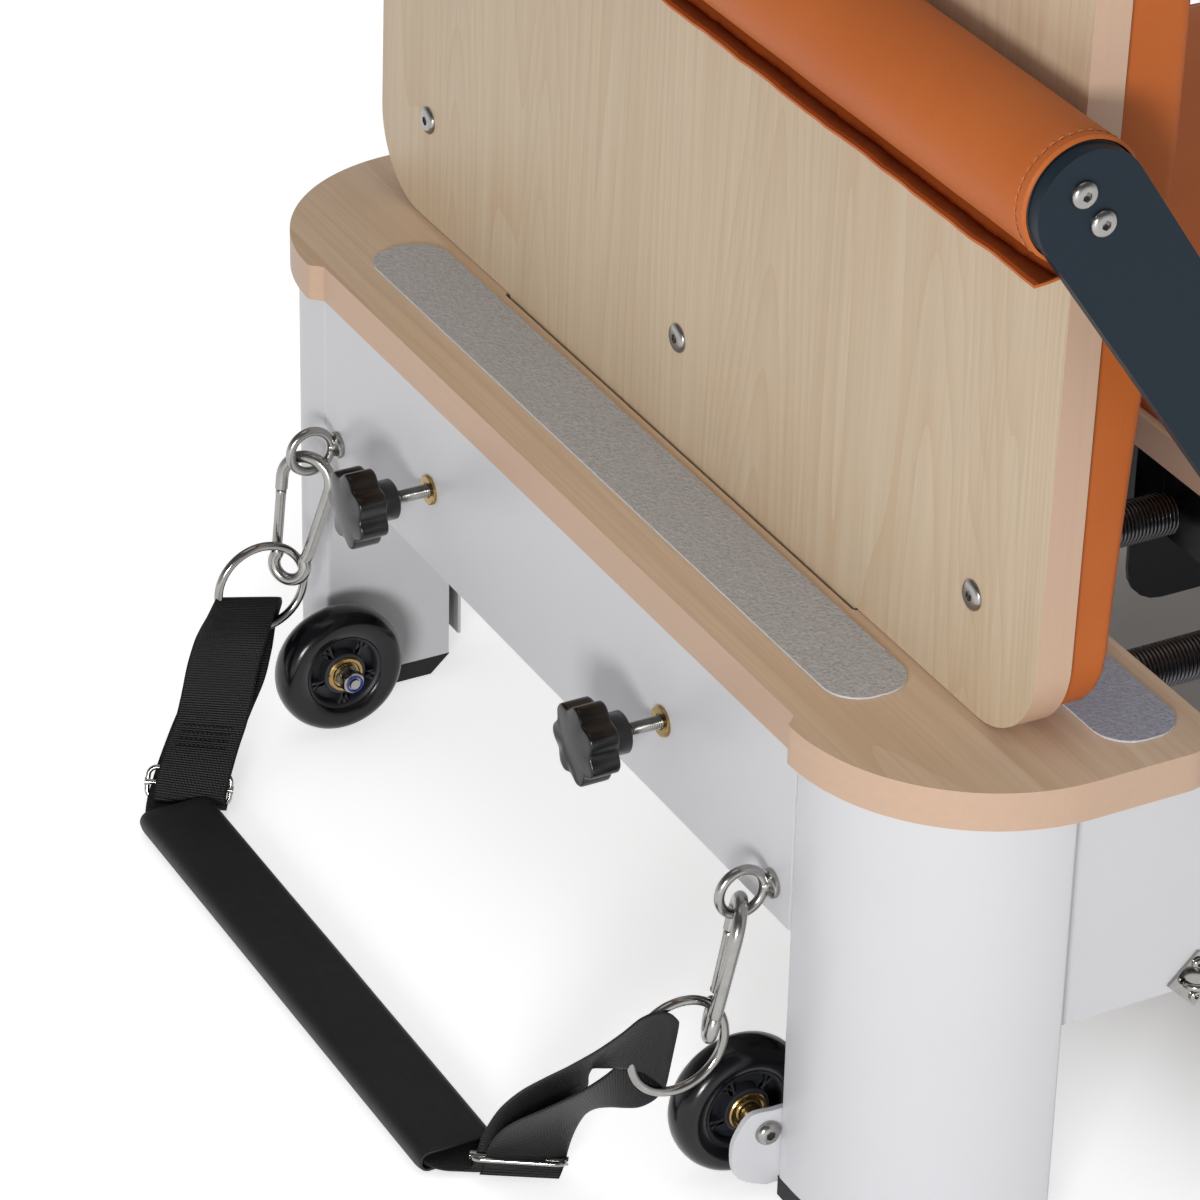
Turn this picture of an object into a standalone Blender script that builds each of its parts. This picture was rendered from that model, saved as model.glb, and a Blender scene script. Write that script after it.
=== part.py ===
"""A folding pilates reformer, modelled piece by piece in Blender.

The foot end stands as in use: jump board in its slot, foot bar leaning on it, foot strap on the
floor. Sizes are millimetres. x runs from the foot edge of the frame to the head end, y to the
left and z up from the floor. add() moves every piece into the part's own frame, in metres, whose
origin is the middle of the part's footprint on the floor.
"""
import math

import bmesh
import bpy
from mathutils import Matrix, Vector
from mathutils.geometry import tessellate_polygon

MM = 0.001
CLEAR = 0.3          # gap between pieces that touch
WELD = 1.0           # how far welded shapes reach into each other

# Frame as a whole
FRAME_LENGTH = 2360.0
TOP = 295.0          # top of the platform above the floor
HINGE_X = 1180.0
HINGE_Z = TOP + 5.0

# Platform board at the foot end
BOARD_THICK = 22.0
BOARD_HALF_WIDTH = 389.0
BOARD_DEPTH = 183.0
BOARD_FRONT_ROUND = 110.0
BOARD_REAR_ROUND = 26.0
RECESS_DEPTH = 7.0
RECESS_HALF_WIDTH = 272.0
SLOT_HALF_WIDTH = 197.0
SLOT_CLEAR = 1.2

# Grip strips stuck on the platform
STRIP_THICK = 1.2
STRIP_ROUND = 20.0
FRONT_STRIP_X = 25.5
FRONT_STRIP_DEPTH = 46.5
FRONT_STRIP_HALF_LENGTH = 275.0
REAR_STRIP_X = 125.0
REAR_STRIP_DEPTH = 46.0
REAR_STRIP_HALF_LENGTH = 369.0

# End beams and legs, folded from sheet
SHEET = 2.0
SETBACK = 1.5        # beam and leg faces behind the platform's recessed edge
BEAM_HALF_WIDTH = 273.5
BEAM_HEIGHT = 106.0
BEAM_FLANGE = 40.0
LEG_INNER = BEAM_HALF_WIDTH + CLEAR
LEG_ROUND = 92.0
LEG_OUTER = 381.0
LEG_BACK = 100.0
LEG_INNER_BACK = 82.7
LEG_SLOT_EDGE = 292.0
SHOE_HEIGHT = 12.0

# Side rails
RAIL_OUTER = 373.0
RAIL_WIDTH = 40.0
RAIL_HEIGHT = 134.0
RAIL_TRACK_WIDTH = 30.0
RAIL_TRACK_DROP = 73.0     # top of the roller track below the rail's top
EAR_INSET = 28.0           # the inner ear's face inside the rail's outer face
EAR_THICK = 6.0
EAR_ROUND = 14.0
EAR_LENGTH = 70.0
HINGE_PIN = 5.0
HINGE_PIN_HEAD = 8.0
PIN_PLAY = 0.3

# Middle legs
MIDDLE_LEG_X = 1100.0
MIDDLE_LEG_DEPTH = 40.0
MIDDLE_LEG_WIDTH = 36.0
MIDDLE_BAR_Z = 62.0
MIDDLE_BAR_HEIGHT = 24.0

# Eye bolts, clamp knobs and spring bar
EYE_Y = 256.0
EYE_Z = TOP - 109.3
EYE_X = -17.0
EYE_RADIUS = 13.0
EYE_WIRE = 2.75
EYE_COLLAR = 8.0
EYE_COLLAR_THICK = 3.0
BOLT = 4.0
KNOB_Y = 137.0
KNOB_Z = TOP - 79.0
KNOB_STUD_REACH = 22.0
KNOB_HUB_RADIUS = 11.5
KNOB_HUB_LENGTH = 11.0
KNOB_LOBE_RADIUS = 22.5
KNOB_LOBE_DIP = 4.0
KNOB_LOBE_LENGTH = 15.0
KNOB_DOME = 5.0
KNOB_LOBES = 7
SPRING_BAR_HALF_WIDTH = 244.0
SPRING_BAR_HEIGHT = 32.0
SPRING_BAR_THICK = 20.0

# Transport wheels on their brackets
WHEEL_X = -6.1
WHEEL_Y = 243.4
WHEEL_Z = TOP - 252.2
WHEEL_RADIUS = 40.0
WHEEL_WIDTH = 24.0
WHEEL_EDGE_ROUND = 11.0
WHEEL_BORE = 4.3
BRACKET_THICK = 3.5
BRACKET_REACH = 20.0
BRACKET_HEIGHT = 46.0
BRACKET_TAIL = 30.0
AXLE_HEAD = 7.0
AXLE_HEAD_THICK = 4.5
AXLE_NUT = 6.5
AXLE_NUT_THICK = 8.0
AXLE_SLEEVE = 6.0

# Jump board: a panel with a tongue in the platform's slot, and a pad on its far side
PANEL_FACE_X = 80.5        # front face at the platform's top
PANEL_LEAN = math.radians(0.85)
PANEL_THICK = 20.0
PANEL_HALF_WIDTH = 362.0
PANEL_HEIGHT = 450.0
PANEL_ROUND = 50.0
TONGUE_HALF_WIDTH = 194.0
TONGUE_DEPTH = 50.0
JUMP_PAD_THICK = 26.0
JUMP_PAD_INSET = 4.0

# Foot bar
BAR_HEIGHT = 334.4         # centre above the platform's top
SLEEVE_RADIUS = 32.0
BAR_RADIUS = 24.0
BAR_WALL = 2.5
ARM_GAP = 39.0             # between a rail and the foot bar's arm
ARM_THICK = 8.0
ARM_END_ROUND = 29.0
ARM_PIVOT_ROUND = 24.0
FOOT_PIVOT_X = 349.0
FOOT_PIVOT_Z = TOP - 95.0
LUG_RADIUS = 23.0
PIVOT_PIN = 6.0
PIVOT_HEAD = 11.0
PIVOT_HEAD_THICK = 5.0

# Foot strap: snap hooks, rings, webbing, buckles and handle
HOOK_WIRE = 3.75
HOOK_LEAN = 12.0           # degrees that the hooks lean out along x
HOOK_LENGTH = 87.0
HOOK_TOP_ROUND = 15.0
HOOK_FOOT_ROUND = 8.5
GATE_WIRE = 3.2
GATE_LOW = 0.16            # hinge end of the gate along the straight side, from the narrow end
GATE_HIGH = 0.86
GATE_HINGE_GAP = 1.5       # room for the gate's end to turn
GATE_LATCH_GAP = 0.7
STRAP_RING_RADIUS = 27.5
STRAP_RING_WIRE = 2.6
STRAP_RING_X = {"left": -50.0, "right": -51.3}
STRAP_RING_Z = {"left": TOP - 193.0, "right": TOP - 194.3}
WEB_WIDTH = 40.0
WEB_THICK = 1.8
HANDLE_X = -137.0
HANDLE_WIDTH = 46.0
HANDLE_HEIGHT = 14.0
HANDLE_WALL = 1.5
HANDLE_FAR_Y = 190.0
HANDLE_NEAR_Y = -176.0
HANDLE_FLOOR_GAP = 0.5
BUCKLE_WIDTH = 51.0
BUCKLE_DEPTH = 21.0
BUCKLE_WIRE = 2.0
BUCKLE_BAR = 4.6            # width of the middle bar

# Carriage
CARRIAGE_X = 330.0
CARRIAGE_LENGTH = 820.0
CARRIAGE_HALF_WIDTH = 300.0
CARRIAGE_BOARD_THICK = 20.0
CARRIAGE_TOP = TOP - 3.0
CARRIAGE_BOARD_ROUND = 25.0
PAD_REAR_MARGIN = 272.0    # board left free behind the pad for the rests
PAD_THICK = 48.0
PAD_ROUND = 30.0
PAD_MARGIN = 4.0
HEADREST_LENGTH = 240.0
HEADREST_HALF_WIDTH = 98.0
HEADREST_THICK = 45.0
HEADREST_REAR_MARGIN = 6.0
SHOULDER_REAR_MARGIN = 258.0
SHOULDER_Y = 165.0
SHOULDER_HALF_WIDTH = 52.0
SHOULDER_THICK = 50.0
SHOULDER_HEIGHT = 150.0
SHOULDER_RAISE = 20.0
SHOULDER_PEG = 8.0
SHOULDER_PEG_LENGTH = 60.0
PEG_PLAY = 0.5
CHASSIS_FRONT_X = 372.0
CHASSIS_REAR_MARGIN = 40.0
CHASSIS_RAIL_GAP = 11.0
CHASSIS_PLATE = 3.0
CHASSIS_CROSS_HEIGHT = 80.0
CHASSIS_SIDE_HEIGHT = 72.0
KEEL_FRONT_X = 352.0
KEEL_LENGTH = 120.0
KEEL_HALF_WIDTH = 50.0
KEEL_BOTTOM = TOP - 148.0
KEEL_ROUND = 25.0
ROLLER_RADIUS = 18.0
ROLLER_WIDTH = 20.0
ROLLER_BORE = 4.3
ROLLER_RAIL_INSET = 18.0   # the rollers' middle inside the rail's outer face
ROLLER_INSET = 58.0        # first roller axle behind the chassis' front plate

# Springs
SPRING_YS = (-205.5, -68.5, 68.5, 205.5)
SPRING_RADIUS = 13.0
SPRING_WIRE = 2.4
SPRING_CURLS = 15
SPRING_POINTS = 6

# Head end
POST_Y = 150.0
POST_WIDTH = 30.0
POST_THICK = 10.0
POST_HEIGHT = 95.0
PULLEY_RADIUS = 26.0
PULLEY_WIDTH = 14.0
PULLEY_GROOVE = 5.0
PULLEY_BORE = 4.3
PULLEY_AXLE_DROP = 20.0

# Heights and places that follow from the sizes above
DECK = TOP - BOARD_THICK - CLEAR
RAIL_BOTTOM = DECK - RAIL_HEIGHT
TRACK_TOP = DECK - RAIL_TRACK_DROP
BEAM_BOTTOM = DECK - BEAM_HEIGHT
RAIL_START = LEG_BACK + CLEAR
RAIL_INNER = RAIL_OUTER - RAIL_WIDTH
EAR_Y = RAIL_OUTER - EAR_INSET
ARM_INNER = RAIL_OUTER + ARM_GAP
ROLLER_Y = RAIL_OUTER - ROLLER_RAIL_INSET
CARRIAGE_END = CARRIAGE_X + CARRIAGE_LENGTH
PAD_END = CARRIAGE_END - PAD_REAR_MARGIN
SHOULDER_X = CARRIAGE_END - SHOULDER_REAR_MARGIN
CHASSIS_REAR_X = CARRIAGE_END - CHASSIS_REAR_MARGIN
CHASSIS_HALF_WIDTH = RAIL_INNER - CHASSIS_RAIL_GAP
CARRIAGE_UNDER = CARRIAGE_TOP - CARRIAGE_BOARD_THICK - CLEAR
ROLLER_Z = TRACK_TOP + CLEAR + ROLLER_RADIUS
SPRING_BAR_X = SETBACK + SHEET + CLEAR
HANDLE_Z = HANDLE_FLOOR_GAP + HANDLE_HEIGHT / 2
STRAP_REACH = HANDLE_WIDTH / 2 - HANDLE_X
X_SHIFT = (STRAP_REACH - FRAME_LENGTH) / 2
BAR_X = PANEL_FACE_X + BAR_HEIGHT * math.tan(PANEL_LEAN) - (SLEEVE_RADIUS + CLEAR) / math.cos(PANEL_LEAN)

FINISHES = {
    "white_paint": ((0.80, 0.81, 0.83), 0.38, 0.0),
    "black_paint": ((0.02, 0.02, 0.025), 0.45, 0.0),
    "slate_paint": ((0.028, 0.042, 0.056), 0.38, 0.0),
    "beech": ((0.55, 0.40, 0.27), 0.55, 0.0),
    "maple": ((0.60, 0.50, 0.37), 0.5, 0.0),
    "grip": ((0.29, 0.29, 0.30), 0.95, 0.0),
    "orange_leather": ((0.47, 0.13, 0.035), 0.5, 0.0),
    "steel": ((0.60, 0.60, 0.60), 0.25, 1.0),
    "spring_steel": ((0.10, 0.10, 0.10), 0.35, 1.0),
    "black_plastic": ((0.012, 0.012, 0.013), 0.32, 0.0),
    "black_rubber": ((0.02, 0.02, 0.02), 0.75, 0.0),
    "webbing": ((0.010, 0.010, 0.012), 0.6, 0.0),
}


def clear_scene():
    for thing in list(bpy.data.objects):
        bpy.data.objects.remove(thing, do_unlink=True)


def add_material(name, finish):
    colour, roughness, metallic = FINISHES[finish]
    made = bpy.data.materials.new(name)
    made.use_nodes = True
    shader = made.node_tree.nodes["Principled BSDF"]
    shader.inputs["Base Color"].default_value = (*colour, 1.0)
    shader.inputs["Roughness"].default_value = roughness
    shader.inputs["Metallic"].default_value = metallic
    return made


def add_pivot(name, x, y, z, parent=None):
    """An empty on a joint's axis; the pieces that move there are its children."""
    empty = bpy.data.objects.new(name, None)
    bpy.context.collection.objects.link(empty)
    place = Vector((x + X_SHIFT, y, z)) * MM
    empty["place"] = place
    if parent:
        empty.parent = parent
        place = place - Vector(parent["place"])
    empty.location = place
    return empty


def add(name, shape, finish=None, pivot=None):
    """Turn a bmesh in millimetres into a named object, hung from its pivot."""
    bmesh.ops.recalc_face_normals(shape, faces=shape.faces)
    origin = Vector(pivot["place"]) if pivot else Vector()
    to_part = Matrix.Translation(-origin) @ Matrix.Scale(MM, 4) @ Matrix.Translation((X_SHIFT, 0, 0))
    shape.transform(to_part)
    mesh = bpy.data.meshes.new(name)
    shape.to_mesh(mesh)
    shape.free()
    mesh.shade_smooth()
    mesh.set_sharp_from_angle(angle=math.radians(35))
    thing = bpy.data.objects.new(name, mesh)
    bpy.context.collection.objects.link(thing)
    thing.parent = pivot
    if finish:
        mesh.materials.append(add_material(name, finish))
    return thing


def combine(target, operation, *tools):
    """Join other shapes to an object, or cut them from it."""
    for index, shape in enumerate(tools):
        tool = add(f"{target.name}_{operation.lower()}_{index}", shape, pivot=target.parent)
        tool.hide_render = True
        tool.display_type = "WIRE"
        step = target.modifiers.new(tool.name, "BOOLEAN")
        step.operation = operation
        step.object = tool


def arc(cx, cy, radius, start, end, steps):
    """Points from one angle to another, in degrees."""
    angles = [math.radians(start + (end - start) * i / steps) for i in range(steps + 1)]
    return [(cx + radius * math.cos(a), cy + radius * math.sin(a)) for a in angles]


def rounded(x0, x1, y0, y1, radius, steps=5):
    """A rectangle with round corners."""
    corners = ((x1 - radius, y1 - radius), (x0 + radius, y1 - radius),
               (x0 + radius, y0 + radius), (x1 - radius, y0 + radius))
    points = []
    for i, (cx, cy) in enumerate(corners):
        points += arc(cx, cy, radius, 90 * i, 90 * (i + 1), steps)
    return points


def rectangle(x0, x1, y0, y1):
    return [(x0, y0), (x1, y0), (x1, y1), (x0, y1)]


def circle(cx, cy, radius, steps=24):
    return arc(cx, cy, radius, 0, 360, steps)[:-1]


def prism(outline, low, high, axis="Z", holes=()):
    """Extrude an outline with holes along an axis.

    Outline points are (x, y) along Z, (x, z) along Y and (y, z) along X.
    """
    orders = {"Z": lambda a, b, c: (a, b, c), "Y": lambda a, b, c: (a, c, b), "X": lambda a, b, c: (c, a, b)}
    place = orders[axis]
    shape = bmesh.new()
    loops = [list(outline)] + [list(hole) for hole in holes]
    rings = [[shape.verts.new(place(a, b, height)) for loop in loops for a, b in loop] for height in (low, high)]
    for triangle in tessellate_polygon([[Vector((a, b, 0)) for a, b in loop] for loop in loops]):
        for ring in rings:
            shape.faces.new([ring[i] for i in triangle])
    start = 0
    for loop in loops:
        count = len(loop)
        for i in range(count):
            a, b = start + i, start + (i + 1) % count
            shape.faces.new((rings[0][a], rings[0][b], rings[1][b], rings[1][a]))
        start += count
    return shape


def block(x0, x1, y0, y1, z0, z1):
    return prism(rectangle(x0, x1, y0, y1), z0, z1)


def turned(profile, centre, axis="Y", steps=24, hollow=False):
    """Turn a profile of (radius, place along the axis) round an axis through the centre.

    A hollow profile is a closed loop that keeps off the axis; another one ends in flat caps.
    """
    shape = bmesh.new()
    turn = {"X": lambda u, v, w: (w, u, v), "Y": lambda u, v, w: (u, w, v), "Z": lambda u, v, w: (u, v, w)}[axis]
    rings = []
    for radius, along in profile:
        ring = []
        for i in range(steps):
            angle = 2 * math.pi * i / steps
            point = turn(radius * math.cos(angle), radius * math.sin(angle), along)
            ring.append(shape.verts.new(Vector(centre) + Vector(point)))
        rings.append(ring)
    pairs = list(zip(rings, rings[1:]))
    if hollow:
        pairs.append((rings[-1], rings[0]))
    else:
        shape.faces.new(rings[0])
        shape.faces.new(rings[-1])
    for first, second in pairs:
        for i in range(steps):
            j = (i + 1) % steps
            shape.faces.new((first[i], first[j], second[j], second[i]))
    return shape


def rod(centre, radius, low, high, axis="Y", steps=20):
    """A plain round bar between two places along an axis through the centre."""
    return turned([(radius, low), (radius, high)], centre, axis, steps)


def tube(points, radius, sides=8, closed=False):
    """A round tube along points; its sides keep their direction without twisting."""
    points = [Vector(p) for p in points]
    count = len(points)
    ahead = []
    for i in range(count):
        before = points[i - 1] if closed or i else points[i]
        after = points[(i + 1) % count] if closed or i < count - 1 else points[i]
        ahead.append((after - before).normalized())
    start = Vector((0, 0, 1)) if abs(ahead[0].z) < 0.9 else Vector((1, 0, 0))
    normal = start.cross(ahead[0]).normalized()
    shape = bmesh.new()
    rings = []
    for point, direction in zip(points, ahead):
        normal = (normal - direction * normal.dot(direction)).normalized()
        side = direction.cross(normal)
        angles = [2 * math.pi * k / sides for k in range(sides)]
        rings.append([shape.verts.new(point + radius * (normal * math.cos(a) + side * math.sin(a))) for a in angles])
    pairs = list(zip(rings, rings[1:]))
    if closed:
        pairs.append((rings[-1], rings[0]))
    else:
        shape.faces.new(rings[0])
        shape.faces.new(rings[-1])
    for first, second in pairs:
        for k in range(sides):
            m = (k + 1) % sides
            shape.faces.new((first[k], first[m], second[m], second[k]))
    return shape


def ring_points(centre, radius, count, u=(1, 0, 0), v=(0, 0, 1)):
    u, v = Vector(u), Vector(v)
    angles = [2 * math.pi * i / count for i in range(count)]
    return [Vector(centre) + radius * (u * math.cos(a) + v * math.sin(a)) for a in angles]


def ribbon(points, widths, width, thick):
    """A flat strap along points, with the direction across it given at each point."""
    points = [Vector(p) for p in points]
    shape = bmesh.new()
    rings = []
    for i, point in enumerate(points):
        before, after = points[max(i - 1, 0)], points[min(i + 1, len(points) - 1)]
        along = (after - before).normalized()
        across = Vector(widths[i])
        across = (across - along * across.dot(along)).normalized() * width / 2
        up = along.cross(across).normalized() * thick / 2
        corners = (across + up, across - up, -across - up, -across + up)
        rings.append([shape.verts.new(point + corner) for corner in corners])
    shape.faces.new(rings[0])
    shape.faces.new(rings[-1])
    for first, second in zip(rings, rings[1:]):
        for k in range(4):
            m = (k + 1) % 4
            shape.faces.new((first[k], first[m], second[m], second[k]))
    return shape


def cushion(x0, x1, y0, y1, base, thick, radius, crown, tuck, place=None):
    """A stuffed pad: flat below, drawn in at its foot, round at its top edge and crowned.

    Each level is (inset, height); place turns (x, y, height) into a point, for a pad not lying flat.
    """
    edge = min(thick * 0.45, radius * 0.8)
    levels = [(tuck, 0.0), (0.0, thick * 0.35)]
    for angle in (0, 30, 60, 90):
        a = math.radians(angle)
        levels.append((edge * (1 - math.cos(a)), thick - crown - edge * (1 - math.sin(a))))
    reach = min(x1 - x0, y1 - y0) / 2 - edge
    for share in (0.35, 0.7):
        levels.append((edge + reach * share, thick - crown * (1 - share) ** 2))
    place = place or (lambda x, y, h: (x, y, base + h))
    shape = bmesh.new()
    rings = []
    for inset, height in levels:
        round_now = max(radius - inset, radius * 0.25)
        outline = rounded(x0 + inset, x1 - inset, y0 + inset, y1 - inset, round_now, 4)
        rings.append([shape.verts.new(place(x, y, height)) for x, y in outline])
    shape.faces.new(rings[0])
    for first, second in zip(rings, rings[1:]):
        count = len(first)
        for i in range(count):
            j = (i + 1) % count
            shape.faces.new((first[i], first[j], second[j], second[i]))
    top = shape.verts.new(place((x0 + x1) / 2, (y0 + y1) / 2, thick))
    for i in range(len(rings[-1])):
        shape.faces.new((rings[-1][i], rings[-1][(i + 1) % len(rings[-1])], top))
    return shape


# Platform and its grip strips
def platform_outline():
    """Half of the board's edge from the middle of the recess, then mirrored."""
    corner_y = BOARD_HALF_WIDTH - BOARD_FRONT_ROUND
    corner_x = BOARD_FRONT_ROUND - RECESS_DEPTH
    step = [(-RECESS_DEPTH * (1 - math.cos(math.pi * t)) / 2, RECESS_HALF_WIDTH + (corner_y - RECESS_HALF_WIDTH) * t)
            for t in (0, 0.25, 0.5, 0.75)]
    half = step
    half += arc(corner_x, corner_y, BOARD_FRONT_ROUND, 180, 90, 12)
    rear_x, rear_y = BOARD_DEPTH - BOARD_REAR_ROUND, BOARD_HALF_WIDTH - BOARD_REAR_ROUND
    half += arc(rear_x, rear_y, BOARD_REAR_ROUND, 90, 0, 5)
    return half + [(x, -y) for x, y in reversed(half)]


def make_platform():
    slot_front = PANEL_FACE_X - SLOT_CLEAR - BOARD_THICK * math.tan(PANEL_LEAN)
    slot_back = PANEL_FACE_X + PANEL_THICK / math.cos(PANEL_LEAN) + SLOT_CLEAR
    slot = rounded(slot_front, slot_back, -SLOT_HALF_WIDTH, SLOT_HALF_WIDTH, 3, 2)
    add("platform_board", prism(platform_outline(), TOP - BOARD_THICK, TOP, holes=[slot]), "beech")
    low = TOP + CLEAR
    front = rounded(FRONT_STRIP_X, FRONT_STRIP_X + FRONT_STRIP_DEPTH,
                    -FRONT_STRIP_HALF_LENGTH, FRONT_STRIP_HALF_LENGTH, STRIP_ROUND)
    add("grip_strip_front", prism(front, low, low + STRIP_THICK), "grip")
    rear = rounded(REAR_STRIP_X, REAR_STRIP_X + REAR_STRIP_DEPTH,
                   -REAR_STRIP_HALF_LENGTH, REAR_STRIP_HALF_LENGTH, STRIP_ROUND)
    add("grip_strip_rear", prism(rear, low, low + STRIP_THICK), "grip")


# End beams, legs and shoes
def beam_outline(front, inward):
    """A channel open towards the carriage; inward is +1 at the foot end and -1 at the head."""
    back = front + BEAM_FLANGE * inward
    wall = front + SHEET * inward
    return [(front, BEAM_BOTTOM), (back, BEAM_BOTTOM), (back, BEAM_BOTTOM + SHEET), (wall, BEAM_BOTTOM + SHEET),
            (wall, DECK - SHEET), (back, DECK - SHEET), (back, DECK), (front, DECK)]


def leg_outline():
    """The leg's folded sheet in plan: round outside, a slot left open at the inner back edge."""
    cx, cy = SETBACK + LEG_ROUND, LEG_OUTER - LEG_ROUND
    outside = [(LEG_INNER_BACK, LEG_INNER), (SETBACK, LEG_INNER)]
    outside += arc(cx, cy, LEG_ROUND, 180, 90, 8)
    outside += [(LEG_BACK, LEG_OUTER), (LEG_BACK, LEG_SLOT_EDGE)]
    inside = [(LEG_BACK - SHEET, LEG_SLOT_EDGE), (LEG_BACK - SHEET, LEG_OUTER - SHEET)]
    inside += arc(cx, cy, LEG_ROUND - SHEET, 90, 180, 8)
    inside += [(SETBACK + SHEET, LEG_INNER + SHEET), (LEG_INNER_BACK, LEG_INNER + SHEET)]
    return outside + inside


def shoe_outline():
    cx, cy = SETBACK + LEG_ROUND, LEG_OUTER - LEG_ROUND
    chamfer = LEG_BACK - LEG_INNER_BACK
    points = [(LEG_INNER_BACK, LEG_INNER), (SETBACK, LEG_INNER)]
    points += arc(cx, cy, LEG_ROUND, 180, 90, 8)
    return points + [(LEG_BACK, LEG_OUTER), (LEG_BACK, LEG_INNER + chamfer)]


def at_foot(points, side):
    return [(x, side * y) for x, y in points]


def at_head(points, side):
    return [(FRAME_LENGTH + SETBACK - x, side * y) for x, y in points]


def make_foot_beam():
    beam = add("foot_end_beam", prism(beam_outline(SETBACK, 1), -BEAM_HALF_WIDTH, BEAM_HALF_WIDTH, "Y"),
               "white_paint")
    holes = [rod((0, side * KNOB_Y, KNOB_Z), BOLT + PIN_PLAY, -5, 10, "X", 16) for side in (1, -1)]
    holes += [rod((0, side * EYE_Y, EYE_Z), BOLT + PIN_PLAY, -5, 10, "X", 16) for side in (1, -1)]
    combine(beam, "DIFFERENCE", *holes)


def make_foot_legs():
    for name, side in (("left", 1), ("right", -1)):
        add(f"foot_leg_{name}", prism(at_foot(leg_outline(), side), SHOE_HEIGHT, DECK), "white_paint")
        add(f"foot_shoe_{name}", prism(at_foot(shoe_outline(), side), 0, SHOE_HEIGHT - CLEAR), "black_rubber")


def make_eye_bolts():
    for name, side in (("left", 1), ("right", -1)):
        y = side * EYE_Y
        eye = add(f"eye_bolt_{name}", tube(ring_points((EYE_X, y, EYE_Z), EYE_RADIUS, 28), EYE_WIRE, 10, True), "steel")
        face = SETBACK - CLEAR
        start = EYE_X + EYE_RADIUS
        stem = [(BOLT - CLEAR, start), (BOLT - CLEAR, face - EYE_COLLAR_THICK), (EYE_COLLAR, face - EYE_COLLAR_THICK),
                (EYE_COLLAR, face), (BOLT - CLEAR, face), (BOLT - CLEAR, SETBACK + SHEET + CLEAR),
                (EYE_COLLAR - 1, SETBACK + SHEET + CLEAR), (EYE_COLLAR - 1, SETBACK + SHEET + 6),
                (BOLT - CLEAR, SETBACK + SHEET + 6), (BOLT - CLEAR, SETBACK + SHEET + 12)]
        combine(eye, "UNION", turned(stem, (0, y, EYE_Z), "X", 16))


def make_spring_bar():
    low = KNOB_Z - SPRING_BAR_HEIGHT / 2
    bar = add("spring_bar", block(SPRING_BAR_X, SPRING_BAR_X + SPRING_BAR_THICK, -SPRING_BAR_HALF_WIDTH,
                                  SPRING_BAR_HALF_WIDTH, low, low + SPRING_BAR_HEIGHT), "black_paint")
    holes = [rod((0, side * KNOB_Y, KNOB_Z), BOLT + PIN_PLAY, -5, SPRING_BAR_X + SPRING_BAR_THICK + 5, "X", 16)
             for side in (1, -1)]
    combine(bar, "DIFFERENCE", *holes)


# Wheel brackets and transport wheels
def make_wheels():
    for name, side in (("left", 1), ("right", -1)):
        inner = LEG_INNER - CLEAR - BRACKET_THICK
        outline = arc(WHEEL_X, WHEEL_Z, BRACKET_REACH, 90, 225, 6)
        outline += [(WHEEL_X + 4, WHEEL_Z - BRACKET_HEIGHT * 0.75), (BRACKET_TAIL, WHEEL_Z - BRACKET_HEIGHT * 0.75),
                    (BRACKET_TAIL, WHEEL_Z + BRACKET_REACH)]
        bracket = add(f"wheel_bracket_{name}", prism(outline, side * inner, side * (inner + BRACKET_THICK), "Y"),
                      "white_paint")
        near, far = WHEEL_Y - WHEEL_WIDTH / 2, WHEEL_Y + WHEEL_WIDTH / 2
        bolt = [(AXLE_HEAD, inner + BRACKET_THICK + AXLE_HEAD_THICK), (AXLE_HEAD, inner + BRACKET_THICK - WELD),
                (AXLE_SLEEVE, inner + WELD), (AXLE_SLEEVE, far + CLEAR), (BOLT, far + CLEAR), (BOLT, near - CLEAR),
                (AXLE_NUT, near - CLEAR), (AXLE_NUT, near - CLEAR - AXLE_NUT_THICK)]
        combine(bracket, "UNION", turned([(r, side * y) for r, y in bolt], (WHEEL_X, 0, WHEEL_Z), "Y", 18))
        pivot = add_pivot(f"transport_wheel_{name}_axis", WHEEL_X, side * WHEEL_Y, WHEEL_Z)
        flat = WHEEL_WIDTH / 2 - WHEEL_EDGE_ROUND
        crown = [(WHEEL_RADIUS - WHEEL_EDGE_ROUND * (1 - math.cos(a)), flat + WHEEL_EDGE_ROUND * math.sin(a))
                 for a in (0, math.pi / 6, math.pi / 3, math.pi / 2)]
        half = crown + [(WHEEL_RADIUS * 0.58, WHEEL_WIDTH / 2 - 1), (WHEEL_RADIUS * 0.52, WHEEL_WIDTH / 4),
                        (WHEEL_RADIUS * 0.28, WHEEL_WIDTH / 4), (WHEEL_RADIUS * 0.24, WHEEL_WIDTH / 2),
                        (WHEEL_BORE, WHEEL_WIDTH / 2)]
        loop = half + [(r, -y) for r, y in reversed(half)]
        add(f"transport_wheel_{name}", turned(loop, (WHEEL_X, side * WHEEL_Y, WHEEL_Z), "Y", 24, True),
            "black_rubber", pivot)


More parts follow.
